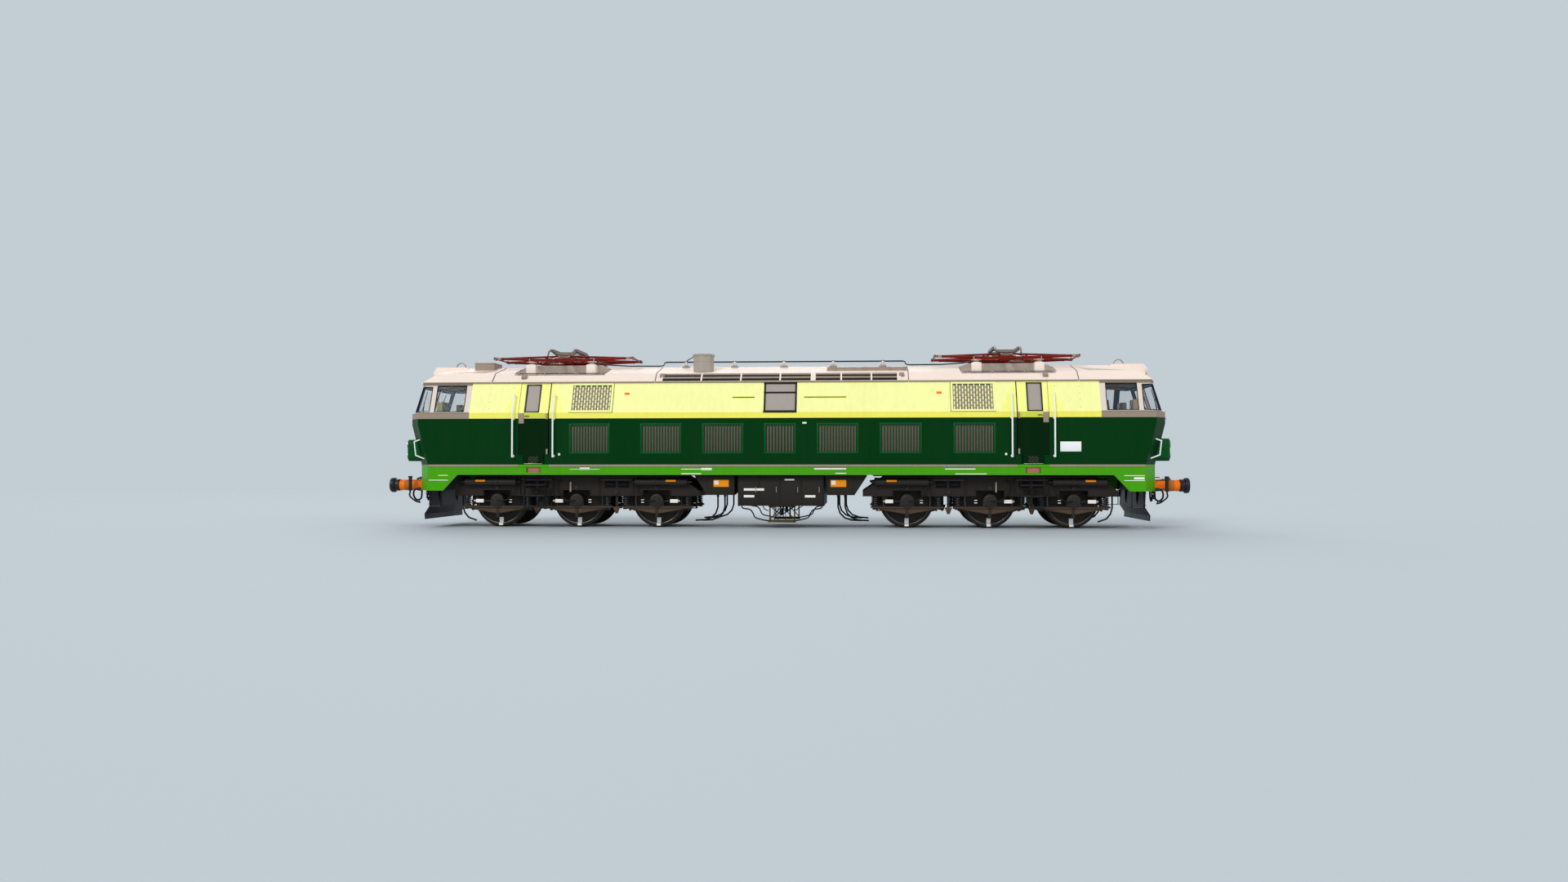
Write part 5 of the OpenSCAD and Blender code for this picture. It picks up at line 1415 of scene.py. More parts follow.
@dataclass
class Pantographs(Fittings):
    """Feet, insulators, braces, springs and collector heads.

    Attributes:
        x: distance of each pantograph from the middle.
        arm: length of an arm.
        angle: angle of the folded arms above the level.
        shaft: distance of the shafts from the pantograph's middle.
        shaft_z: height of the shafts.
        lower_y: distance of the lower arms from the middle line.
        upper_y: distance of the upper arms from the middle line.
    """

    x: float = 5.42
    arm: float = 1.6
    angle: float = math.radians(2)
    shaft: float = 0.12
    shaft_z: float = 4.085
    lower_y: float = 0.58
    upper_y: float = 0.50

    @property
    def knuckle(self) -> Span:
        """Gives the knuckle's distance from the pantograph's middle and its height."""
        return self.shaft + self.arm * math.cos(self.angle), self.shaft_z + self.arm * math.sin(self.angle)

    @property
    def head_z(self) -> float:
        """Gives the height of the head's pivots."""
        return self.shaft_z + 2 * self.arm * math.sin(self.angle)

    def feet(self, piece: Piece) -> None:
        """Adds the foot boxes and their white insulators."""
        bell = [(0.0, 0.115), (0.05, 0.115), (0.06, 0.108), (0.118, 0.092), (0.12, 0.084), (0.066, 0.076),
                (0.066, 0.03), (0.085, 0.02), (0.085, 0.0), (0.0, 0.0)]
        for dx in (-0.745, 0.745):
            x = self.x + dx
            piece.box((x - 0.118, -0.855, 3.692), (x + 0.118, -0.645, 3.965), ROOF, 0.014)
            piece.box((x - 0.15, -0.875, 3.6905), (x + 0.15, -0.625, 3.72), BEIGE, 0.004)
            piece.lathe([(r, z * 0.78) for r, z in bell], (x, -0.75, 3.962), UP, PORCELAIN, 32)
            piece.bolts([(x + u, -0.75 + v, 3.719) for u in (-0.135, 0.135) for v in (-0.1, 0.1)], UP, STEEL)

    def base(self, piece: Piece) -> None:
        """Adds the springs, drive cylinder and bearing caps on the base frame."""
        z, rod_z = self.shaft_z, 4.062
        for y in (-0.18, 0.18):
            for a, b in ((-0.70, -0.20), (0.20, 0.70)):
                coil(piece, (self.x + a, y, z), (self.x + b, y, z), 0.038, 0.008, 13, RED)
                piece.rod((self.x + a - 0.03, y, z), (self.x + b + 0.03, y, z), 0.01, STEEL, 8)
        piece.rod((self.x - 0.60, 0.0, rod_z), (self.x + 0.1, 0.0, rod_z), 0.05, RED, 20)
        piece.rod((self.x + 0.1, 0.0, rod_z), (self.x + 0.5, 0.0, rod_z), 0.015, STEEL, 12)
        for dx in (-0.12, 0.12):
            for y in (-0.70, 0.70):
                piece.rod((self.x + dx, y - 0.05, z), (self.x + dx, y + 0.05, z), 0.042, RED, 20)
        for x in (self.x - 0.8, self.x + 0.8):
            for y in (-0.75, 0.75):
                piece.box((x - 0.012, y - 0.036, 4.044), (x + 0.012, y + 0.036, 4.116), BEIGE, 0.004)

    def lower(self, piece: Piece) -> None:
        """Adds the sleeves, braces and knuckles of one pair of lower arms."""
        far, knee = self.knuckle
        def along(s: float, y: float) -> Point:
            """Gives the place at a share of an arm's length."""
            return (self.shaft + s * (far - self.shaft), y, self.shaft_z + s * (knee - self.shaft_z))
        for side in (-1, 1):
            y = side * self.lower_y
            for s in (0.12, 0.5, 0.88):
                x, _, z = along(s, y)
                piece.rod((x - 0.02, y, z), (x + 0.02, y, z), 0.035, RED, 16)
            piece.rod((far, y + side * 0.026, knee), (far, y + side * 0.036, knee), 0.04, BEIGE, 20)
            piece.box((far - 0.16, y - 0.031, knee - 0.031), (far - 0.06, y + 0.031, knee + 0.027), BEIGE,
                      0.006)
            piece.rod(along(0.06, y), along(0.9, y), 0.034, RED, 16, 0.03)
        cross = along(0.28, 0.0)
        for side in (-1, 1):
            piece.rod(cross, (far - 0.12, side * self.lower_y, knee), 0.011, RED, 8)
            piece.rod((self.shaft + 0.01, side * self.lower_y, self.shaft_z), cross, 0.011, RED, 8)

    def upper(self, piece: Piece) -> None:
        """Adds the sleeves, braces and knuckles of one pair of upper arms."""
        far, knee = self.knuckle
        top = self.head_z
        near = self.shaft + 0.25 * (far - self.shaft)
        near_z = top - 0.25 * (top - knee)
        for side in (-1, 1):
            y = side * self.upper_y
            piece.rod((far - 0.12, y, knee + 0.003), (near, 0.0, near_z), 0.009, RED, 8)
            piece.rod((near, 0.0, near_z), (self.shaft + 0.06, y, top), 0.009, RED, 8)
            piece.rod((far, y - 0.02, knee), (far, y + 0.02, knee), 0.043, BEIGE, 20)
            piece.rod((far - 0.08, y, knee + (top - knee) * 0.05),
                      (self.shaft + 0.16, y, top - (top - knee) * 0.1), 0.027, RED, 16, 0.022)
            piece.rod((self.shaft, y - 0.035, top), (self.shaft, y + 0.035, top), 0.027, BEIGE, 16)

    def head(self, piece: Piece) -> None:
        """Adds a collector head's wearing strips, springs and ties."""
        top = self.head_z
        for x in (-0.3, 0.3):
            piece.box((x - 0.024, -0.54, top + 0.166), (x + 0.024, 0.54, top + 0.1748), CARBON, 0.003)
            for y in (-0.36, -0.12, 0.12, 0.36):
                piece.box((x - 0.033, y - 0.012, top + 0.11), (x + 0.033, y + 0.012, top + 0.168), BEIGE,
                          0.003)
            piece.rod((x, -0.45, top + 0.085), (x, 0.45, top + 0.085), 0.009, BLACK, 8)
            for side in (-1, 1):
                points = [(x, side * 0.56, top + 0.15), (x, side * 0.72, top + 0.143),
                          (x, side * 0.86, top + 0.075)]
                piece.tube(points, 0.0235, BEIGE, 10)
        for y in (-0.45, 0.45):
            piece.tube([(-0.3, y, top + 0.1), (-0.2, y * 1.02, top + 0.045), (0.0, y * 1.03, top + 0.03),
                        (0.2, y * 1.02, top + 0.045), (0.3, y, top + 0.1)], 0.008, BLACK, 8)
        for y in (-0.28, 0.28):
            piece.rod((-0.3, y, top + 0.1), (0.3, -y, top + 0.1), 0.008, BLACK, 8)

    def jobs(self) -> Iterable[Job]:
        """Lists both pantographs' pieces."""
        yield Job("pantograph_feet", self.feet, BOTH)
        yield Job("pantograph_base_gear", self.base, (0,))
        for end in ENDS:
            middle, number = Matrix.Translation((end * self.x, 0, 0)), end_number(end)
            for letter, way in (("a", 1), ("b", -1)):
                place, label = middle @ Matrix.Diagonal((way, 1, 1, 1)), f"{number}{letter}"
                yield Job(f"lower_arm_trim_{label}", self.lower, (), place, f"lower_arm_{label}")
                yield Job(f"upper_arm_trim_{label}", self.upper, (), place, f"upper_arm_{label}")
            yield Job(f"collector_head_trim_{number}", self.head, (), middle, f"pantograph_head_{number}")


def coil(piece: Piece, a: Sequence[float], b: Sequence[float], radius: float, wire: float, turns: int,
         finish: Finish, sides: int = 6) -> None:
    """Adds a helical spring between two points.

    Args:
        piece: the piece that takes it.
        a: middle of one end.
        b: middle of the other end.
        radius: radius of the wire's centreline.
        wire: radius of the wire.
        turns: number of turns.
        finish: the spring's finish.
        sides: flat sides of the wire.
    """
    start, stop = Vector(a), Vector(b)
    length = (stop - start).length - 2 * wire
    turn = Matrix.Translation((radius, 0, wire)) @ Matrix.Rotation(math.pi / 2, 4, "X")
    ring = bmesh.ops.create_circle(piece.mesh, segments=sides, radius=wire, matrix=turn)["verts"]
    before = set(piece.mesh.verts)
    steps = turns * 10
    bmesh.ops.spin(piece.mesh, geom=ring + edges_of(ring), cent=(0, 0, 0), axis=(0, 0, 1),
                   dvec=(0, 0, length / steps), angle=2 * math.pi * turns, steps=steps, use_merge=False)
    made = [v for v in piece.mesh.verts if v not in before] + list(ring)
    rims = [e for e in edges_of(made) if len(e.link_faces) == 1]
    bmesh.ops.holes_fill(piece.mesh, edges=rims, sides=0)
    matrix = Matrix.Translation(start) @ aim(stop - start)
    bmesh.ops.transform(piece.mesh, matrix=matrix, verts=made)
    piece.dress(made, finish)


# ------------------------------------------------------------------ running gear


@dataclass
class Bogies(Fittings):
    """Springs, axle box covers, cables and brake fittings of the bogies.

    Attributes:
        x: distance of the king pins from the middle.
        pitch: distance between neighbouring axles.
        axle_z: height of the axles.
        spring_dx: distance of the springs from their axle.
        links: side of each axle that carries the guide link.
        spring_y: distance of the springs from the middle line.
        face: how far out the side beams' faces are.
        between: distance of the middles between axles from the king pin.
    """

    x: float = 4.95
    pitch: float = 1.95
    axle_z: float = 0.653
    spring_dx: float = 0.75
    links: tuple[int, ...] = (-1, 1, 1)
    spring_y: float = 1.05
    face: float = 1.14
    between: float = 0.975

    @property
    def axles(self) -> tuple[float, ...]:
        """Gives the places of the three axles along the bogie."""
        return (-self.pitch, 0.0, self.pitch)

    def springs(self, piece: Piece) -> None:
        """Adds the twelve coil springs with their seats."""
        y = -self.spring_y
        for axle in self.axles:
            for dx in (-self.spring_dx, self.spring_dx):
                x = axle + dx
                coil(piece, (x, y, 0.532), (x, y, 0.752), 0.07, 0.0155, 4, SPRING, 8)
                coil(piece, (x, y, 0.532), (x, y, 0.752), 0.036, 0.008, 6, SPRING)
                for a, b in ((0.5262, 0.54), (0.745, 0.7598)):
                    piece.rod((x, y, a), (x, y, b), 0.088, CAST, 24)
                piece.rod((x, y, 0.4798), (x, y, 0.44), 0.02, CAST, 6)
                piece.rod((x, y, 0.4798), (x, y, 0.462), 0.036, CAST, 6)

    def boxes(self, piece: Piece) -> None:
        """Adds the covers, bolts and marks of the axle boxes."""
        cover = [(0.0, 0.04), (0.03, 0.04), (0.036, 0.032), (0.075, 0.03), (0.085, 0.018), (0.13, 0.016),
                 (0.148, 0.004), (0.15, -0.01), (0.0, -0.01)]
        for axle, way in zip(self.axles, self.links):
            piece.lathe(cover, (axle, -1.16, self.axle_z), NEAR, CAST, 36)
            ring = [(axle + 0.115 * math.cos(a), -1.176, self.axle_z + 0.115 * math.sin(a))
                    for a in (i * math.pi / 4 + 0.2 for i in range(8))]
            piece.bolts(ring, NEAR, CAST, 0.013, 0.012)
            x = axle + way * 0.33
            a, b = sorted((x, x + way * 0.19))
            piece.box((a, -1.165, self.axle_z - 0.055), (b, -1.105, self.axle_z + 0.03), PLATE, 0.008)
            z, tip = self.axle_z - 0.012, x + way * 0.19
            piece.rod((tip, -1.135, z), (tip + way * 0.05, -1.135, z), 0.032, STEEL, 16)
            for z in (0.60, 0.66):
                u, v = sorted((axle - way * 0.30, axle - way * 0.37))
                piece.box((u, -1.165, z), (v, -1.158, z + 0.018), PLATE, 0.001)
            piece.box((axle - 0.05, -1.162, 0.90), (axle + 0.05, -1.14, 1.0), CAST, 0.01)

    def beams(self, piece: Piece) -> None:
        """Adds the flanges, covers, ribs and bolts of the side beams, and black boxes as painted shadow in
        their recesses.
        """
        face = -self.face
        piece.box((-2.47, face - 0.022, 1.205), (2.47, face + 0.01, 1.238), BOGIE, 0.006)
        for a, b in ((-2.99, -2.3), (-1.6, -0.35), (0.35, 1.6), (2.3, 2.99)):
            piece.box((a, face - 0.02, 0.763), (b, face + 0.01, 0.79), BOGIE, 0.005)
        for axle in self.axles:
            piece.box((axle - 0.36, face - 0.02, 0.90), (axle + 0.36, face + 0.01, 0.925), BOGIE, 0.005)
            for u in (-0.345, 0.33):
                piece.box((axle + u, face - 0.02, 0.763), (axle + u + 0.015, face + 0.01, 0.92), BOGIE, 0.004)
        for middle in (-self.between, self.between):
            for u in (-0.3, 0.02):
                # Black boxes are painted shadow in the beams' recesses.
                piece.box((middle + u, face - 0.008, 0.96), (middle + u + 0.26, face + 0.01, 1.12), SHADOW_BLACK,
                          0.004)
                piece.box((middle + u + 0.03, face - 0.014, 1.03), (middle + u + 0.23, face + 0.01, 1.045),
                          CAST, 0.003)
            piece.rod((middle, face - 0.03, 0.86), (middle, face + 0.01, 0.86), 0.05, CAST, 20)
            piece.box((middle - 0.38, face - 0.05, 1.14), (middle + 0.38, face + 0.01, 1.155), SLAT, 0.003)
            for u in (-0.42, 0.40):
                piece.box((middle + u, face - 0.03, 0.80), (middle + u + 0.02, face + 0.01, 1.2), BOGIE,
                          0.004)
            piece.bolts([(middle + u, face - 0.008, z) for u in (-0.34, 0.34) for z in (0.83, 0.95, 1.1)],
                        NEAR, CAST)
        piece.box((0.12, face - 0.045, 0.86), (0.16, face - 0.01, 1.10), BEIGE, 0.006)
        piece.bolts([(-2.9 + 0.36 * i, face - 0.02, 1.221) for i in range(2, 15)], NEAR, CAST, 0.012, 0.01)
        for x in (-2.86, -2.7, 2.7, 2.86):
            piece.rod((x, face - 0.018, 0.82), (x, face + 0.01, 0.82), 0.022, CAST, 6)
        piece.box((2.9, -0.9, 0.795), (3.012, 0.0, 0.85), BOGIE, 0.01)

    def brakes(self, piece: Piece) -> None:
        """Adds the flanges and stripe of the brake cylinders, the rods and the cables."""
        y, z = -1.225, 1.1
        for way in (-1, 1):
            for x, radius, thick in ((1.47, 0.1, 0.03), (1.92, 0.1, 0.04), (2.05, 0.095, 0.02),
                                     (2.5, 0.095, 0.025), (2.67, 0.09, 0.03)):
                piece.band((0.07, radius), (0.0, thick), (way * x - thick / 2, y, z), AHEAD, CAST)
            a, b = sorted((way * 2.20, way * 2.44))
            piece.box((a, y - 0.089, 1.105), (b, y - 0.07, 1.15), AMBER, 0.003)
            piece.rod((way * 2.7, y, z), (way * 2.82, y, z), 0.035, CAST, 12, 0.02)
            piece.rod((way * 1.45, y, z), (way * 1.36, y, z), 0.03, CAST, 12)
            for dx in (1.75, 2.1, 2.36):
                piece.box((way * dx - 0.02, -1.2, 1.0), (way * dx + 0.02, -1.135, 1.2), BOGIE, 0.004)
        for axle in self.axles:
            way = 1 if axle > 0 else -1
            cable = ((0.36, -1.18, 1.13), (0.44, -1.2, 1.1), (0.46, -1.21, 0.98), (0.42, -1.21, 0.84),
                     (0.3, -1.21, 0.70), (0.14, -1.205, 0.64), (0.0, -1.2, self.axle_z))
            points = [(axle - way * u, v, w) for u, v, w in cable]
            piece.tube(smooth_path(points), 0.014, RUBBER, 8)
            for side in (-1, 1):
                x = axle + side * 0.708
                piece.rod((x, -0.70, 0.63), (x, -0.83, 0.63), 0.03, CAST, 12)
                piece.rod((x, -0.72, 0.985), (x, -0.95, 0.985), 0.02, CAST, 12)
                piece.box((x - 0.022, -0.80, 0.40), (x + 0.022, -0.74, 0.60), RUST, 0.006)
                piece.rod((x, -0.70, 0.42), (x, -0.84, 0.42), 0.022, CAST, 10)
            piece.rod((axle - 0.73, -0.77, 0.41), (axle - 0.60, -0.77, 0.41), 0.012, CAST, 8)
        for middle in (-self.between, self.between):
            piece.box((middle - 0.03, -1.09, 0.45), (middle + 0.03, -1.03, 0.79), CAST, 0.008)
            piece.plate([(-0.09, 0.0), (0.09, 0.0), (0.03, -0.16), (-0.03, -0.16)],
                        plane((middle, -1.10, 0.50), UP, NEAR), 0.02, RUST, 0.004)

    def cradles(self, piece: Piece) -> None:
        """Adds the flanges, lower edges and stems of the cradles under the axle boxes."""
        y = -self.spring_y
        for axle in self.axles:
            for side in (-1, 1):
                seat, pin = axle + side * 0.79, axle + side * 0.62
                piece.tube([(axle + side * 0.8, y, 0.478), (axle + side * 0.07, y, 0.348), (axle, y, 0.342)],
                           0.014, RUST, 6)
                piece.box((seat - 0.03, -1.10, 0.44), (seat + 0.03, -1.0, 0.482), CAST, 0.006)
                piece.rod((pin, -1.11, 0.475), (pin, -0.99, 0.475), 0.02, CAST, 8)
            piece.box((axle - 0.04, -1.098, 0.24), (axle + 0.04, -1.0, 0.49), CAST, 0.008)

    def jobs(self) -> Iterable[Job]:
        """Lists both bogies' pieces."""
        for end in ENDS:
            place, number = mirror_x(end) @ Matrix.Translation((self.x, 0, 0)), end_number(end)
            yield Job(f"suspension_springs_{number}", self.springs, place=place, body=f"bogie_{number}",
                      stands_for=(f"coil_springs_{number}",))
            for name, draw in (("axle_box_covers", self.boxes), ("beam_fittings", self.beams),
                               ("brake_fittings", self.brakes), ("cradle_fittings", self.cradles)):
                yield Job(f"{name}_{number}", draw, place=place, body=f"bogie_{number}")


def smooth_path(points: Sequence[Sequence[float]], cuts: int = 4) -> list[Vector]:
    """Rounds a path through its points.

    Args:
        points: the path's points.
        cuts: new points in each span.

    Returns:
        Points along a smooth curve through them.
    """
    path = [Vector(p) for p in points]
    out = []
    for i in range(len(path) - 1):
        p0, p1, p2, p3 = path[max(i - 1, 0)], path[i], path[i + 1], path[min(i + 2, len(path) - 1)]
        for k in range(cuts):
            t = k / cuts
            out.append(0.5 * (2 * p1 + (p2 - p0) * t + (2 * p0 - 5 * p1 + 4 * p2 - p3) * t ** 2
                              + (3 * p1 - p0 - 3 * p2 + p3) * t ** 3))
    return out + [path[-1]]


@dataclass
class Wheels(Fittings):
    """Tyre rings, hub bolts and painted marks of the wheels.

    Attributes:
        places: X of each axle.
        height: height of the axles.
    """

    places: tuple[float, ...] = (-6.9, -4.95, -3.0, 3.0, 4.95, 6.9)
    height: float = 0.653

    def trim(self, x: float, piece: Piece) -> None:
        """Adds the rings, painted marks and bolts of one wheel."""
        centre = (x, 0.0, self.height)
        ring = [(0.555, 0.812), (0.566, 0.816), (0.57, 0.816), (0.575, 0.812), (0.555, 0.812)]
        piece.lathe(ring, centre, NEAR, TREAD, 96)
        tread = [(0.6205, 0.812), (0.6265, 0.76), (0.6282, 0.72), (0.6265, 0.72), (0.6205, 0.80),
                 (0.6205, 0.812)]
        piece.lathe(tread, centre, NEAR, TREAD, 96)
        for turn in (-90, 90):
            piece.move = Matrix.Translation(centre) @ Matrix.Rotation(math.radians(turn), 4, "Y")
            piece.box((0.562, -0.818, -0.05), (0.617, -0.8135, 0.05), WHITE, 0.001)
            piece.box((0.42, -0.7665, -0.05), (0.56, -0.7595, 0.05), WHITE, 0.001)
            piece.move = Matrix.Identity(4)
        for i in range(8):
            a = i * math.pi / 4
            u, w = x + 0.2 * math.cos(a), self.height + 0.2 * math.sin(a)
            piece.rod((u, -0.753, w), (u, -0.768, w), 0.02, CAST, 6)

    def jobs(self) -> Iterable[Job]:
        """Lists one piece for each wheelset."""
        for number, x in enumerate(self.places, 1):
            yield Job(f"wheel_trim_{number}", partial(self.trim, x), body=f"wheelset_{number}")


# ------------------------------------------------------------------ underfloor and ends


@dataclass
class Underfloor(Fittings):
    """Panels, plates, cables and steps under the body's middle.

    Attributes:
        face: how far the middle box's side is from the middle line.
        marks: X span, height and thickness of its painted plates.
    """

    face: float = 1.30
    marks: tuple[Strip, ...] = (
        (0.10, 0.33, 1.14, 0.035), (-0.875, -0.39, 0.895, 0.055),
        (-0.875, -0.625, 0.735, 0.055), (0.58, 0.83, 0.735, 0.055))

    def middle_box(self, piece: Piece) -> None:
        """Adds the middle box's lids, seams, handles and plates."""
        y = -self.face
        for a, b in ((-1.0, -0.51), (-0.49, -0.02), (0.02, 0.49), (0.51, 1.0)):
            piece.box((a, y - 0.012, 0.57), (b, y + 0.01, 1.245), BOX, 0.006)
            piece.rod((b - 0.08, y - 0.034, 0.86), (b - 0.08, y - 0.034, 0.98), 0.008, STEEL, 8)
            for z in (0.86, 0.98):
                piece.rod((b - 0.08, y - 0.01, z), (b - 0.08, y - 0.036, z), 0.008, STEEL, 8)
            piece.bolts([(u, y - 0.012, v) for u in (a + 0.04, b - 0.04) for v in (0.61, 1.2)], NEAR, CAST,
                        0.011, 0.009)
        for x in (-0.5, 0.5):
            for z in (0.60, 1.12):
                piece.rod((x, y - 0.012, z), (x, y - 0.012, z + 0.08), 0.012, CAST, 10)
        for a, b, z, thick in self.marks:
            piece.box((a, y - 0.016, z), (b, y - 0.01, z + thick), PLATE, 0.0015)
        piece.box((0.985, y - 0.01, 0.54), (1.03, y + 0.05, 1.37), PLOUGH, 0.004)
        for x in (-1.0, 1.0):
            piece.box((x - 0.02, -1.29, 0.528), (x + 0.02, 0.0, 0.545), CAST, 0.004)

    def side_boxes(self, piece: Piece) -> None:
        """Adds the side boxes' lids, amber plates and filler caps."""
        for end in ENDS:
            a, b = sorted((end * 1.14, end * 1.74))
            piece.box((a, -1.318, 0.82), (b, -1.30, 1.25), BOX, 0.006)
            u, v = (-1.60, -1.235) if end < 0 else (1.19, 1.56)
            piece.box((u, -1.324, 0.985), (v, -1.315, 1.15), AMBER, 0.002)
            piece.box((u + 0.02, -1.327, 1.04), (u + 0.12, -1.32, 1.135), PLATE, 0.001)
            piece.rod((end * 1.9, -1.24, 1.245), (end * 1.9, -1.30, 1.245), 0.04, CAST, 16)
            piece.box((end * 1.11 - 0.01, -1.30, 0.80), (end * 1.11 + 0.01, -1.24, 1.26), PLOUGH, 0.003)
            for x in (1.36, 1.53):
                piece.rod((end * x, -1.0, 0.789), (end * x, -1.0, 0.74), 0.034, CAST, 12, 0.026)

    def magnet(self, piece: Piece) -> None:
        """Adds the lattice and the cables of the magnet frame under the box."""
        y = -0.99
        piece.rod((-0.26, y, 0.505), (0.0, y, 0.30), 0.012, CAST, 8)
        piece.rod((0.0, y, 0.30), (0.28, y, 0.505), 0.012, CAST, 8)
        for x in (-0.17, -0.08, 0.1, 0.2):
            piece.rod((x, y, 0.19), (x, y, 0.52), 0.010, CAST, 8)
        piece.rod((0.01, y, 0.3), (0.01, y, 0.46), 0.035, FRAME, 14)
        piece.box((-0.31, -1.063, 0.125), (0.345, -0.897, 0.14), TREAD, 0.004)
        for x in (-0.29, 0.31):
            piece.bolts([(x, -1.06, z) for z in (0.15, 0.17)], NEAR, CAST)
        for end, far in ((-1, -0.95), (1, 0.98)):
            drop = ((1.0, -1.02, 0.535), (0.97, -1.03, 0.47), (0.80, -1.04, 0.44), (0.72, -1.04, 0.36),
                    (0.66, -1.04, 0.25), (0.5, -1.04, 0.20))
            points = [(far * s, y, z) for s, y, z in drop] + [(end * 0.30, -1.03, 0.165)]
            piece.tube(smooth_path(points), 0.016, RUBBER, 8)
            lead = ((0.43, -1.1, 0.535), (0.41, -1.1, 0.47), (0.36, -1.08, 0.43), (0.31, -1.02, 0.41))
            piece.tube(smooth_path([(end * x, y, z) for x, y, z in lead]), 0.012, RUBBER, 8)

    def sole_bar(self, piece: Piece) -> None:
        """Adds pipes and brackets under the skirt between the bogies and the steps."""
        for y, z in ((-1.22, 1.262), (-1.16, 1.255)):
            piece.rod((2.2, y, z), (7.7, y, z), 0.016, RUBBER, 8)
        for x in (2.6, 3.4, 4.2, 5.0, 7.0, 7.6):
            piece.box((x - 0.015, -1.27, 1.235), (x + 0.015, -1.12, 1.285), FRAME, 0.004)
        for z in (0.520, 0.780, 1.040):
            for x in [5.66 + 0.06 * i for i in range(8)]:
                piece.box((x, -1.485, z - 0.001), (x + 0.03, -1.285, z + 0.004), STEEL, 0.001)
            piece.box((5.632, -1.493, z - 0.03), (6.158, -1.484, z + 0.004), FRAME, 0.002)
        for x in [8.2 + 0.06 * i for i in range(4)]:
            piece.box((x, -1.485, 0.511), (x + 0.03, -1.33, 0.516), STEEL, 0.001)

    def jobs(self) -> Iterable[Job]:
        """Lists the underfloor pieces."""
        return (Job("equipment_box_panels", self.middle_box),
                Job("side_box_panels", self.side_boxes),
                Job("magnet_frame_lattice", self.magnet),
                Job("sole_pipes", self.sole_bar, BOTH))


